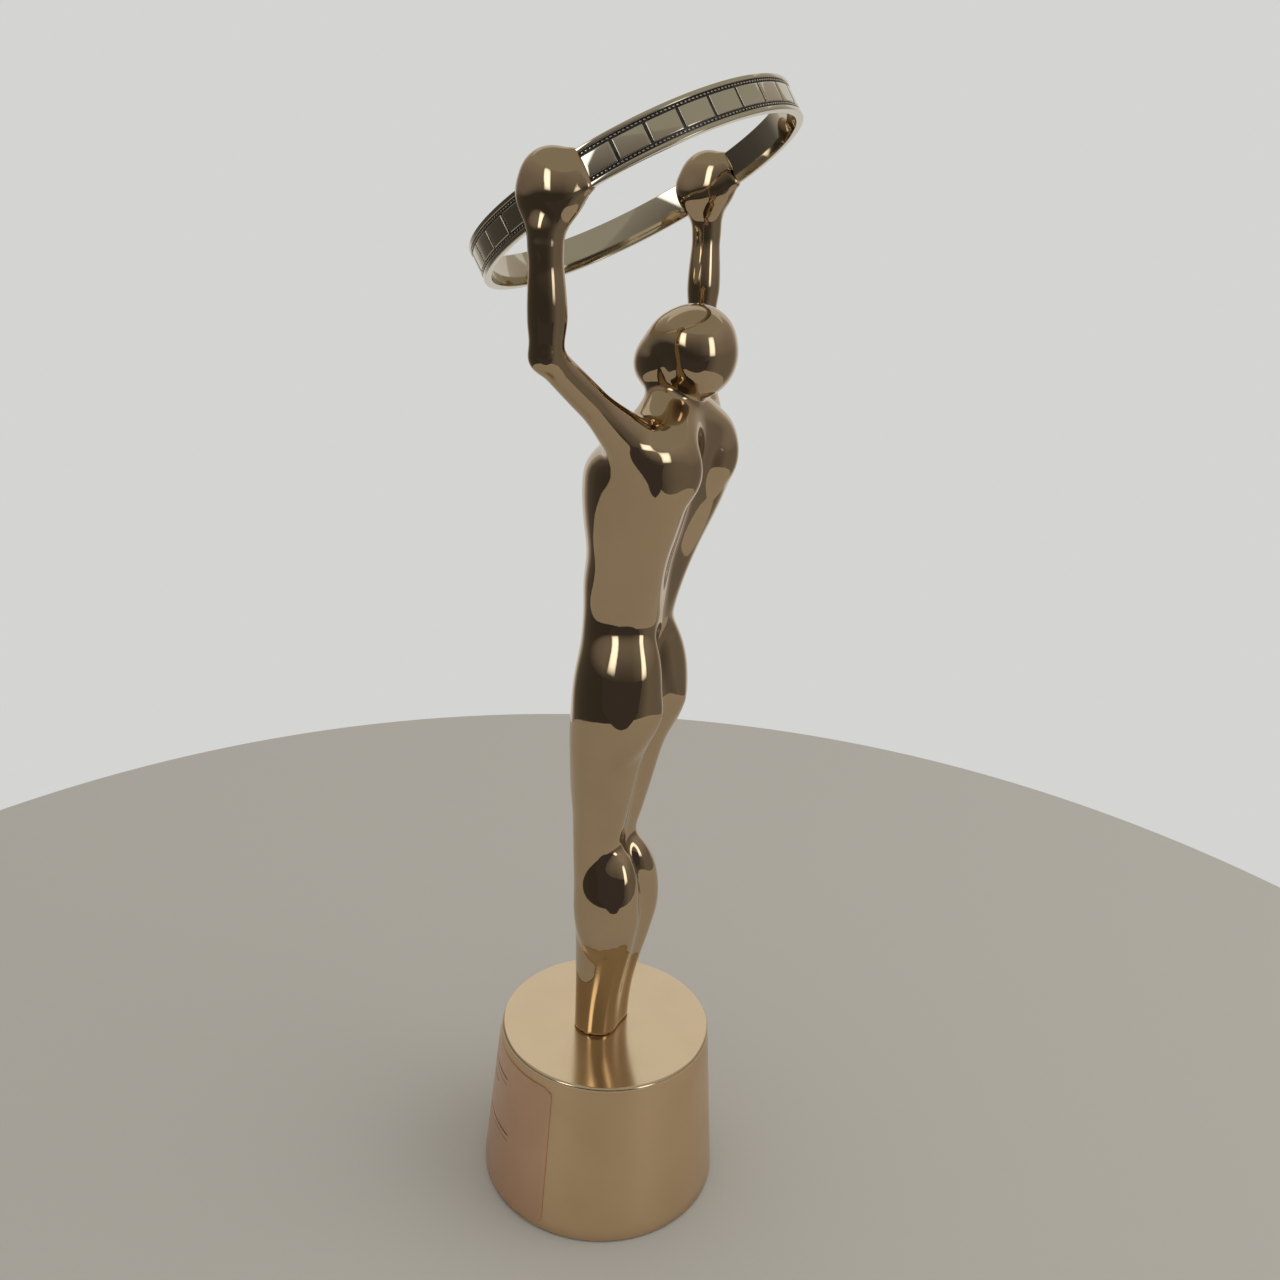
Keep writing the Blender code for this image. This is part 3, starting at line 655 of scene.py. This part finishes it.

# %% [markdown]
# ## Placing a piece
#
# Every piece of the model is parented to the body that carries it, takes its finishes in its material slots,
# and hides the CAD nodes it stands for. One helper does this for all of them. The first piece is the figure's
# skin, which stands for all four castings of the figure.

# %% Skin the figure
def piece(name, points, faces, finishes, nodes=()):
    """A smooth-shaded mesh piece in frame metres that rides on the trophy."""
    mesh = bpy.data.meshes.new(name)
    mesh.from_pydata([tuple(p) for p in np.asarray(points, float)], [], [tuple(f) for f in faces])
    mesh.shade_smooth()
    for finish in finishes:
        mesh.materials.append(finish)
    thing = bpy.data.objects.new(name, mesh)
    bpy.context.scene.collection.objects.link(thing)
    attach(thing, "root")
    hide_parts(*nodes)
    return thing


GRID = 0.85
GRID_LOW = (-66, -24, -1.5)
GRID_HIGH = (66, 38, 324)
points, quads = skin(figure, GRID_LOW, GRID_HIGH, GRID)
points[:, 2] = np.maximum(points[:, 2], 0)
piece("figure_skin", points * MM + (0, 0, SOLES), quads.tolist(), [FIGURE_GOLD],
      ["torso_and_legs", "head", "left_arm", "right_arm"])
print("figure skin:", len(points), "points, box", points.min(0).round(2), points.max(0).round(2))

# %% [markdown]
# ## The ring
#
# The hoop is a strip of gold band with a recess round its outside, like a length of cine film. The recess is
# filled with black enamel, and plain picture frames stand up in it, with a row of square pips along each edge
# for the sprocket holes. The band is its section swept round the tilted circle. A curve object with a bevel
# would do the same, but plain faces keep the sharp inner corners of the recess.

# %% Points on the hoop
R = RING_RADIUS / MM
RING_TURN = np.array(RING.to_3x3())
RING_PLACE = np.array(RING.translation)


def hoop(angles, radii, heights):
    """Frame points for places round the hoop: radians, and mm from its axis and its middle plane."""
    local = np.stack([radii * np.cos(angles), radii * np.sin(angles), heights], -1)
    return local @ RING_TURN.T * MM + RING_PLACE


def rounded(outline, radius, steps=3):
    """A closed outline with each corner rounded."""
    corners = [np.asarray(p, float) for p in outline]
    result = []
    for before, corner, after in zip(corners[-1:] + corners[:-1], corners, corners[1:] + corners[:1]):
        start = corner + (before - corner) / np.linalg.norm(before - corner) * radius
        end = corner + (after - corner) / np.linalg.norm(after - corner) * radius
        for step in range(steps + 1):
            t = step / steps
            result.append((1 - t) ** 2 * start + 2 * t * (1 - t) * corner + t * t * end)
    return np.array(result)


def sweep(outline, angles):
    """Points and faces of a closed outline (radius, height) swept along the hoop, with closed ends."""
    rows, count = len(angles), len(outline)
    heights = np.broadcast_to(outline[None, :, 1], (rows, count))
    points = hoop(angles[:, None], outline[None, :, 0], heights)
    faces = []
    for row in range(rows - 1):
        for k in range(count):
            a, b = row * count + k, row * count + (k + 1) % count
            faces.append((a, b, b + count, a + count))
    faces.append(tuple(range(count))[::-1])
    faces.append(tuple((rows - 1) * count + k for k in range(count)))
    return points.reshape(-1, 3), faces


print("hoop of", round(2 * math.pi * R), "mm round")

# %% Bands and enamel
INNER_RADIUS = R - BAND_THICKNESS / MM
HALF_WIDTH = BAND_WIDTH / MM / 2
RIM = 1.3                   # width of the plain metal along each edge
TRACK = HALF_WIDTH - RIM    # half width of the recess
RECESS_FLOOR = R - 0.9
ENAMEL_TOP = R - 0.45
TUCK = 0.1                  # the enamel reaches this far into the metal
HALF_GAP = math.asin(3.0 / R)       # the arcs stop short inside each hand
SWEEP_STEPS = 361
SPANS = {
    "front": (math.pi - HAND_BEHIND_SIDE + HALF_GAP, 2 * math.pi + HAND_BEHIND_SIDE - HALF_GAP),
    "rear": (HAND_BEHIND_SIDE + HALF_GAP, math.pi - HAND_BEHIND_SIDE - HALF_GAP),
}
BAND_SECTION = rounded([
    (INNER_RADIUS, -HALF_WIDTH), (R, -HALF_WIDTH), (R, -TRACK), (RECESS_FLOOR, -TRACK),
    (RECESS_FLOOR, TRACK), (R, TRACK), (R, HALF_WIDTH), (INNER_RADIUS, HALF_WIDTH)], 0.28)
ENAMEL_SECTION = rounded([
    (RECESS_FLOOR - TUCK, -TRACK - TUCK), (ENAMEL_TOP, -TRACK - TUCK),
    (ENAMEL_TOP, TRACK + TUCK), (RECESS_FLOOR - TUCK, TRACK + TUCK)], 0.05, 1)
for side, (start, end) in SPANS.items():
    angles = np.linspace(start, end, SWEEP_STEPS)
    points, faces = sweep(BAND_SECTION, angles)
    piece(f"ring_{side}_band", points, faces, [RING_GOLD], [f"ring_{side}_arc"])
    points, faces = sweep(ENAMEL_SECTION, angles)
    piece(f"{side}_enamel", points, faces, [ENAMEL_BLACK], [f"enamel_{side}_strip"])
    print(side, "arc:", round(math.degrees(end - start), 1), "degrees")

# %% [markdown]
# ## Picture frames and sprocket pips
#
# Each frame is a small plate bent to the hoop, with softened edges that catch the light. It is one grid of
# points whose outer rows step down into the enamel. The pips are the same plate, much smaller. An array
# modifier on a curve would stretch them unevenly, so a loop places each one at its own angle.

# %% Plates on the hoop
# The softened edge: how far in from the rim, and how far down, as parts of the edge's width and depth.
EDGE_PROFILE = [(0.0, 1.0), (0.0, 0.42), (0.38, 0.08), (1.0, 0.0)]
EDGE_DEPTH = 1.4            # times the edge's width


def softened(half, edge, steps):
    """Places from one rim of a plate to the other, and how far each one has dropped."""
    rim = [(-half + part * edge, drop) for part, drop in EDGE_PROFILE]
    inner = half - edge
    flat = [(-inner + 2 * inner * k / steps, 0.0) for k in range(1, steps)]
    return np.array(rim + flat + [(-place, drop) for place, drop in rim[::-1]]).T


def plates(centres, height, half_size, top, edge, steps):
    """Many softened plates on the hoop: angles, then middle height, half size and top radius in mm."""
    u, u_drop = softened(half_size[0], edge, steps)
    v, v_drop = softened(half_size[1], edge, 1)
    depth = np.maximum(u_drop[:, None], v_drop[None, :]) * edge * EDGE_DEPTH
    points, faces = [], []
    cols = len(v)
    for centre in centres:
        base = len(points) * len(u) * cols
        angles = centre + u[:, None] / R + 0 * v[None, :]
        points.append(hoop(angles, top - depth, height + 0 * u[:, None] + v[None, :]).reshape(-1, 3))
        corners = [base + i * cols + j for i in range(len(u) - 1) for j in range(cols - 1)]
        faces += [(k, k + cols, k + cols + 1, k + 1) for k in corners]
    return np.concatenate(points), faces


trial_points, trial_faces = plates([0.0], 0.0, (1, 1), R, 0.2, 1)
print("one small plate:", len(trial_points), "points and", len(trial_faces), "faces")

# %% Repeat them round the hoop
FRAMES = 34
FIRST_LINE = math.radians(2.1)      # the first gap between frames
FRAME_GAP = 0.8
FRAME_HALF_HEIGHT = 2.9
FRAME_TOP = R - 0.08
FRAME_EDGE = 0.35
FRAME_STEPS = 8
PIPS_PER_FRAME = 8
PIP_HEIGHT = 3.52
PIP_HALF_SIZE = (0.3, 0.2)
PIP_TOP = R - 0.12
PIP_EDGE = 0.12
SLEEVE_REACH = math.radians(11.6)   # how far a hand hides the hoop on each side
frame_pitch = 2 * math.pi / FRAMES
pip_pitch = frame_pitch / PIPS_PER_FRAME
frame_half_size = (frame_pitch * R / 2 - FRAME_GAP / 2, FRAME_HALF_HEIGHT)
for side, (start, end) in SPANS.items():
    free_start = start - HALF_GAP + SLEEVE_REACH
    free_end = end + HALF_GAP - SLEEVE_REACH
    half = frame_pitch / 2
    frames = [FIRST_LINE + k * frame_pitch + half for k in range(-1, 2 * FRAMES)]
    frames = [a for a in frames if free_start - half < a < free_end + half]
    points, faces = plates(frames, 0.0, frame_half_size, FRAME_TOP, FRAME_EDGE, FRAME_STEPS)
    piece(f"{side}_picture_frames", points, faces, [RING_GOLD])
    pips = [FIRST_LINE + (k + 0.5) * pip_pitch for k in range(-PIPS_PER_FRAME, 2 * FRAMES * PIPS_PER_FRAME)]
    pips = [a for a in pips if free_start < a < free_end]
    rows = [plates(pips, sign * PIP_HEIGHT, PIP_HALF_SIZE, PIP_TOP, PIP_EDGE, 1) for sign in (-1, 1)]
    points = np.concatenate([row[0] for row in rows])
    faces = rows[0][1] + [tuple(k + len(rows[0][0]) for k in f) for f in rows[1][1]]
    piece(f"{side}_sprocket_pips", points, faces, [RING_GOLD])
    print(side, "frames", len(frames), "pips", 2 * len(pips))

# %% [markdown]
# ## The base
#
# The base is a cup turned on a lathe: a slight taper, a polished flat top, and a small round along the rim.
# A cylinder with a bevel would be quicker, but here it is one outline spun round the upright axis in fine
# steps, so the satin side shades evenly and the rim draws one thin bright line.

# %% Outline of the base
SHELL_FOOT = (shell_high.x - shell_low.x) / 2
SHELL_TOP = shell_high.z
SHELL_LIFT = shell_low.z
RIM_FILLET = 1.2 * MM
TOP_RADIUS = 40 * MM
WALL = 3 * MM
UNDER_TOP = SHELL_TOP - 5 * MM
FOOT_BEVEL = (0.3 * MM, 0.4 * MM)
FILLET_STEPS = 8
SIDE_STEPS = 12
RIM_FOOT = SHELL_TOP - RIM_FILLET


def shell_radius(height):
    """Outside radius of the tapered side at a height."""
    foot_to_rim = (height - SHELL_LIFT) / (RIM_FOOT - SHELL_LIFT)
    return SHELL_FOOT + (TOP_RADIUS - SHELL_FOOT) * foot_to_rim


shell_outline = [(0.0, SHELL_TOP), (TOP_RADIUS - RIM_FILLET, SHELL_TOP)]
for k in range(1, FILLET_STEPS + 1):
    angle = math.radians(90 - 90 * k / FILLET_STEPS)
    shell_outline.append((TOP_RADIUS - RIM_FILLET * (1 - math.cos(angle)),
                          SHELL_TOP - RIM_FILLET * (1 - math.sin(angle))))
for k in range(1, SIDE_STEPS + 1):
    height = RIM_FOOT - (RIM_FOOT - SHELL_LIFT - FOOT_BEVEL[1]) * k / SIDE_STEPS
    shell_outline.append((shell_radius(height), height))
shell_outline += [(SHELL_FOOT - FOOT_BEVEL[0], SHELL_LIFT), (SHELL_FOOT - WALL, SHELL_LIFT),
                  (shell_radius(UNDER_TOP) - WALL, UNDER_TOP), (0.0, UNDER_TOP)]
print("base outline:", len(shell_outline), "points")

# %% Turned base
TURN_STEPS = 256


def spin(outline, steps):
    """Points and faces of an outline spun round the upright axis."""
    circle = [(math.cos(2 * math.pi * k / steps), math.sin(2 * math.pi * k / steps)) for k in range(steps)]
    points = [(0.0, 0.0, outline[0][1])]
    for radius, height in outline[1:-1]:
        points += [(radius * x, radius * y, height) for x, y in circle]
    points.append((0.0, 0.0, outline[-1][1]))
    rings = len(outline) - 2
    last = 1 + (rings - 1) * steps
    faces = []
    for k in range(steps):
        after = (k + 1) % steps
        faces.append((0, 1 + k, 1 + after))
        for a in range(1, last, steps):
            faces.append((a + after, a + k, a + steps + k, a + steps + after))
        faces.append((last + after, last + k, len(points) - 1))
    return points, faces


points, faces = spin(shell_outline, TURN_STEPS)
base = piece("turned_base", points, faces, [BASE_SATIN, BASE_TOP_POLISH_PAINTED_LIGHT], ["base_shell"])
# The top faces take the finer polish, whose paler tint is painted light.
for polygon in base.data.polygons:
    if polygon.center.z > RIM_FOOT:
        polygon.material_index = 1
base.data.set_sharp_from_angle(angle=math.radians(40))
print("turned base:", len(faces), "faces")

# %% [markdown]
# ## The nameplate
#
# A thin copper plate is wrapped round the front half of the base. Its corners are rounded and its edge is
# softened. The inscription is left as plain engraved rules filled with black. A cut made with a boolean would
# leave slivers that show in the sheen, so the plate is one grid bent round the cone, with extra rows and
# columns where a rule starts and ends, and the rules are real grooves.

# %% Grid of the plate
PLATE_LOW, PLATE_HIGH = plate_low.z, plate_high.z
PLATE_HALF_ANGLE = 89.2         # degrees to each side of straight ahead
# Middle height, half thickness (mm) and half length (degrees) of each engraved rule.
RULES = [(53.0, 0.45, 56), (50.6, 0.25, 56), (46.0, 0.45, 44),
         (30.5, 0.45, 62), (28.0, 0.25, 62), (12.0, 0.45, 26)]
WALL_RUN = 0.12                 # mm of slope on a groove's long walls
END_RUN = 0.16                  # degrees of slope at a groove's ends
CLEAR_ROWS, CLEAR_COLUMNS = 0.6, 0.3        # no plain row (mm) or column (degrees) this close to a rule


def plate_rows():
    """Heights (mm) where the plate has a row of points."""
    rows = list(np.linspace(PLATE_LOW / MM, PLATE_HIGH / MM, 40))
    for middle, half, _ in RULES:
        rows = [r for r in rows if abs(r - middle) > half + CLEAR_ROWS]
        rows += [middle - half - WALL_RUN, middle - half, middle + half, middle + half + WALL_RUN]
    return np.array(sorted(rows))


def plate_columns():
    """Angles (degrees from straight ahead) where the plate has a column of points."""
    degrees = list(np.linspace(-PLATE_HALF_ANGLE, PLATE_HALF_ANGLE, 181))
    for _, _, reach in RULES:
        for sign in (-1, 1):
            degrees = [d for d in degrees if abs(d - sign * reach) > CLEAR_COLUMNS]
            degrees += [sign * reach, sign * (reach + END_RUN)]
    return np.array(sorted(set(np.round(degrees, 4))))


def engraved(u, v):
    """Whether an angle (degrees) and a height (mm) are on the floor of a rule's groove."""
    return any(abs(v - middle) <= half + 1e-6 and abs(u) <= reach + 1e-6 for middle, half, reach in RULES)


rows, columns = plate_rows(), plate_columns()
print("plate grid", len(rows), "by", len(columns))

# %% Bend the plate
PLATE_GAP = 0.02 * MM
PLATE_THICKNESS = 0.45 * MM
PLATE_CORNER = 3.0 * MM
GROOVE = 0.2 * MM
EDGE_ROLL = 0.18 * MM


def on_plate(u, v):
    """Angle and height of a grid place, pulled in near the plate's corners so that they are rounded."""
    radius = shell_radius(v * MM) + PLATE_GAP + PLATE_THICKNESS
    side_edge = math.radians(PLATE_HALF_ANGLE) * radius
    along = math.radians(u) * radius
    half_height = (PLATE_HIGH - PLATE_LOW) / 2
    into_corner = abs(v * MM - (PLATE_LOW + PLATE_HIGH) / 2) - (half_height - PLATE_CORNER)
    if into_corner > 0:
        squeeze = PLATE_CORNER - math.sqrt(max(PLATE_CORNER**2 - into_corner**2, 0))
        along *= (side_edge - squeeze) / side_edge
    return along / radius, v * MM


def plate_face(outer):
    """Points of the plate's outer or inner face, row by row."""
    points = []
    for i, v in enumerate(rows):
        for j, u in enumerate(columns):
            angle, height = on_plate(u, v)
            radius = shell_radius(height) + PLATE_GAP
            if outer:
                on_edge = i in (0, len(rows) - 1) or j in (0, len(columns) - 1)
                radius += PLATE_THICKNESS - GROOVE * engraved(u, v) - EDGE_ROLL * on_edge
            points.append((radius * math.sin(angle), -radius * math.cos(angle), height))
    return points


points = plate_face(outer=True) + plate_face(outer=False)
print("plate points:", len(points))

# %% Close and fill the plate
tall, wide = len(rows), len(columns)
back = tall * wide
faces, dark = [], []
for i in range(tall - 1):
    for j in range(wide - 1):
        a = i * wide + j
        faces.append((a, a + 1, a + wide + 1, a + wide))
        dark.append(engraved((columns[j] + columns[j + 1]) / 2, (rows[i] + rows[i + 1]) / 2))
        faces.append((back + a + wide, back + a + wide + 1, back + a + 1, back + a))
        dark.append(False)
rim = list(range(wide)) + [i * wide + wide - 1 for i in range(1, tall)]
rim += [(tall - 1) * wide + j for j in range(wide - 2, -1, -1)] + [i * wide for i in range(tall - 2, 0, -1)]
for a, b in zip(rim, rim[1:] + rim[:1]):
    faces.append((b, a, a + back, b + back))
    dark.append(False)
plate = piece("wrapped_nameplate", points, faces, [PLATE_COPPER, ENAMEL_BLACK], ["nameplate"])
for polygon, is_dark in zip(plate.data.polygons, dark):
    polygon.material_index = int(is_dark)
plate.data.set_sharp_from_angle(angle=math.radians(35))
print("nameplate:", len(faces), "faces,", sum(dark), "of them filled with black")

# %% [markdown]
# ## Pieces that keep their CAD shape
#
# The fixings, the weight, the bottom plate and the felt are hidden or seen only from below, and their CAD
# shapes are already right. They only need their finishes.

# %% Finish the hidden pieces
FINISHES = {"plated_steel": PLATED_STEEL, "cast_weight": CAST_WEIGHT, "felt_black": FELT_BLACK}
kept_nodes = [node for node in frame["nodes"].values() if not node.hide_render]
for node in kept_nodes:
    for mesh_slot in node.material_slots:
        kind = next((k for k in FINISHES if k in mesh_slot.material.name), "plated_steel")
        mesh_slot.material = FINISHES[kind]
print("CAD pieces finished:", len(kept_nodes))

# %% [markdown]
# ## The stage
#
# A mirror looks like whatever stands round it, so the stage is half of the finish. A pale round table and a
# pale wall give the soft beige areas. The table is a thin disc whose edge is seen beyond the trophy, and the
# wall is the plain world colour, which has no seam to show in the gold.

# %% Table and far wall
TABLE_MIDDLE = (0.045, 0.032)
TABLE_RADIUS = 0.477
TABLE_THICKNESS = 0.02


def stage_material(name, colour):
    """A plain matt colour for the stage."""
    material, nodes, links, shader = new_material(name)
    shader.inputs["Base Color"].default_value = (*colour, 1)
    shader.inputs["Roughness"].default_value = 0.9
    shader.inputs["Specular IOR Level"].default_value = 0.1
    return material


bpy.ops.mesh.primitive_cylinder_add(vertices=180, radius=TABLE_RADIUS, depth=TABLE_THICKNESS,
                                    location=(*TABLE_MIDDLE, -TABLE_THICKNESS / 2))
floor = bpy.context.object
floor.name = "floor"
floor.data.materials.append(stage_material("stage_floor", (0.52, 0.49, 0.44)))
floor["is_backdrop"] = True

world = bpy.data.worlds.new("pale_room")
bpy.context.scene.world = world
world.use_nodes = True
background = world.node_tree.nodes["Background"]
background.inputs["Color"].default_value = (0.66, 0.66, 0.645, 1)
background.inputs["Strength"].default_value = 1.0
print("table top at", round((floor.location.z + TABLE_THICKNESS / 2) / MM, 3), "mm")

# %% [markdown]
# ## The room behind the viewer
#
# The deep browns of the gold are a dim room, seen in the mirror on the viewer's side. Modelling furniture
# would draw details that nobody can name in a curved mirror, so the room is one curved card that only glows,
# darker low down and lighter higher up. Its brightness is painted point by point, and it is seen only in
# reflections.

# %% Glowing cards
def glow_material(name, tint):
    """A surface that only glows, as bright at each point as the level painted there."""
    material, nodes, links, shader = new_material(name)
    shader.inputs["Base Color"].default_value = (0, 0, 0, 1)
    shader.inputs["Specular IOR Level"].default_value = 0
    shader.inputs["Emission Color"].default_value = (*tint, 1)
    read_level = nodes.new("ShaderNodeAttribute")
    read_level.attribute_name = "glow"
    links.new(read_level.outputs["Fac"], shader.inputs["Emission Strength"])
    return material


def only_reflected(name, points, faces, tint, levels):
    """A glowing stage surface that shows in reflections and is never seen directly."""
    mesh = bpy.data.meshes.new(name)
    mesh.from_pydata(points, [], faces)
    mesh.materials.append(glow_material(name, tint))
    mesh.attributes.new("glow", "FLOAT", "POINT").data.foreach_set("value", levels)
    thing = bpy.data.objects.new(name, mesh)
    bpy.context.scene.collection.objects.link(thing)
    thing.visible_camera = False
    thing.visible_transmission = False
    thing.visible_diffuse = False
    thing.visible_shadow = False
    thing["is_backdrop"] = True
    print(name, "glows from", round(float(min(levels)), 3), "to", round(float(max(levels)), 3))


print("a card's points carry their own brightness")

# %% Dim room
VIEW_SIDE = math.radians(25.8)      # the viewer stands this far round from +X towards +Y
ROOM_DISTANCE = 1.6
ROOM_HEIGHTS = (-1.2, 0.28, 0.5, 0.9, 1.5)
ROOM_COLUMNS = 73
# Bearing from the viewer in degrees, then how bright the room is low down, at eye level and high up.
ROOM = np.array([
    (-146, 0.50, 0.50, 0.46), (-128, 0.11, 0.20, 0.42), (-105, 0.07, 0.18, 0.36), (-80, 0.055, 0.19, 0.34),
    (-55, 0.05, 0.20, 0.34), (-35, 0.05, 0.13, 0.32), (-15, 0.05, 0.10, 0.30), (8, 0.05, 0.10, 0.28),
    (28, 0.08, 0.17, 0.30), (60, 0.20, 0.25, 0.40), (95, 0.19, 0.24, 0.38), (122, 0.20, 0.28, 0.40),
    (142, 0.45, 0.50, 0.44)])


def bearing_ways(bearing):
    """Unit directions outwards and to the side at a bearing from the viewer, in degrees."""
    angle = VIEW_SIDE + math.radians(bearing)
    return Vector((math.cos(angle), math.sin(angle), 0)), Vector((-math.sin(angle), math.cos(angle), 0))


points, levels = [], []
for bearing in np.linspace(ROOM[0, 0], ROOM[-1, 0], ROOM_COLUMNS):
    low, eye, high = (float(np.interp(bearing, ROOM[:, 0], ROOM[:, c])) for c in (1, 2, 3))
    out = bearing_ways(bearing)[0] * ROOM_DISTANCE
    for height, level in zip(ROOM_HEIGHTS, (low, low, eye, (eye + high) / 2, high)):
        points.append((out.x, out.y, height))
        levels.append(level)
tall = len(ROOM_HEIGHTS)
corners = [c * tall + r for c in range(ROOM_COLUMNS - 1) for r in range(tall - 1)]
faces = [(k, k + tall, k + tall + 1, k + 1) for k in corners]
only_reflected("dim_room", points, faces, (1.0, 0.93, 0.86), levels)

# %% [markdown]
# ## Ceiling and the viewer's painted shadow
#
# Over the viewer the room has a plain ceiling, which shows on the upward-facing gold. It stops a little beyond
# the trophy, so the surfaces that face the far side stay bright. A dark card closes the table off at the near
# side, down to a point: painted shade for the viewer's shadow on the near part of the table. Both are flat
# cards, because nothing in them has a shape.

# %% Ceiling and painted shadow
CEILING_HEIGHT = 1.5
CEILING_FROM, CEILING_TO, CEILING_HALF = -0.75, 2.5, 3.0        # m towards the viewer, and to each side
VIEWER_SHADOW_DISTANCE = 0.40
# Places along the lower edge of the painted shadow card, in metres: sideways, and height.
VIEWER_SHADOW_OUTLINE = [(-0.5, 0.25), (-0.4, 0.06), (-0.04, 0.002), (0.06, 0.002), (0.24, 0.07), (0.3, 0.25)]
towards, across = bearing_ways(0)
corners = [towards * t + across * a + Vector((0, 0, CEILING_HEIGHT))
           for t, a in ((CEILING_FROM, -CEILING_HALF), (CEILING_TO, -CEILING_HALF),
                        (CEILING_TO, CEILING_HALF), (CEILING_FROM, CEILING_HALF))]
only_reflected("ceiling", [tuple(c) for c in corners], [(0, 3, 2, 1)], (1.0, 0.99, 0.87), [0.35] * 4)
# A faintly glowing dark card, seen only in reflections: painted shade for the viewer's shadow on the near
# table.
corners = [towards * VIEWER_SHADOW_DISTANCE + across * a + Vector((0, 0, h)) for a, h in VIEWER_SHADOW_OUTLINE]
only_reflected("dark_clothes", [tuple(c) for c in corners], [tuple(range(len(corners)))], (1.0, 0.9, 0.95),
               [0.06] * len(corners))

# %% [markdown]
# ## Windows
#
# Two tall windows on the viewer's side draw the crisp upright highlights that show the form. An area light
# would give hard-edged strips. These are cards whose glow fades towards their edges, like curtained windows,
# so the highlights end softly.

# %% Soft windows
WINDOW_GRID = 13
WINDOW_FAINTEST = 0.12
WINDOW_DISTANCE = ROOM_DISTANCE - 0.05


def window(name, bearing, width, low, high, glow):
    """A bright upright window on the viewer's side, fading at its edges like a curtained one."""
    out, sideways = bearing_ways(bearing)
    out = out * WINDOW_DISTANCE + Vector((0, 0, (low + high) / 2))
    half_width, half_height = sideways * width / 2, Vector((0, 0, (high - low) / 2))
    steps = np.linspace(-1, 1, WINDOW_GRID)
    places = [(u, v) for v in steps for u in steps]
    points = [tuple(out + half_width * u + half_height * v) for u, v in places]
    levels = [glow * (1 - u ** 4) * (1 - v ** 4) + WINDOW_FAINTEST for u, v in places]
    n = WINDOW_GRID
    faces = [(k, k + 1, k + n + 1, k + n) for k in range(n * (n - 1)) if (k + 1) % n]
    only_reflected(name, points, faces, (0.93, 0.97, 1.0), levels)


window("left_window", -38, 0.50, 0.40, 1.45, 2.6)
window("right_window", 44, 0.50, 0.28, 1.2, 2.4)

# %% [markdown]
# ## Soft overhead light
#
# One large round lamp, high up and to one side, lays the faint shadow on the table. The mirrors would show it
# as a white disc, so it is hidden from reflections.

# %% Overhead lamp
overhead = bpy.data.lights.new("soft_overhead", "AREA")
overhead.shape = "DISK"
overhead.size = 1.2
overhead.energy = 4.0
lamp = bpy.data.objects.new("soft_overhead", overhead)
bpy.context.scene.collection.objects.link(lamp)
LAMP_TARGET = Vector((0, 0, 0.2))
lamp.location = (-0.35, 0.9, 1.3)
lamp.rotation_euler = (LAMP_TARGET - lamp.location).to_track_quat("-Z", "Y").to_euler()
lamp.visible_glossy = False
lamp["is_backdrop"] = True
print("lamp", round((lamp.location - LAMP_TARGET).length, 2), "m from the trophy")

# %% [markdown]
# ## The camera
#
# A wide lens stands close, level with the ring and behind the figure's left shoulder, and leans slightly.
# Standing close makes the ring loom over the head, which a long lens from far away would flatten.

# %% Camera
camera_data = bpy.data.cameras.new("camera")
camera_data.sensor_width = 36
camera_data.lens = 36
camera_data.clip_start = 0.01
camera = bpy.data.objects.new("camera", camera_data)
bpy.context.scene.collection.objects.link(camera)
camera.location = (0.36891, 0.17839, 0.38979)
camera.rotation_euler = [math.radians(a) for a in (68.285, -3.092, 116.361)]
bpy.context.scene.camera = camera
bpy.context.scene.view_settings.view_transform = "Standard"
print("camera", round(camera.location.length, 3), "m from the foot of the trophy")

# %% [markdown]
# ## Sizes
#
# The last step measures the box of the finished model and prints it.

# %% Print the sizes and finish
low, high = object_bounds()
print("visual box in mm:", [round(v / MM, 1) for v in (*low, *high)])
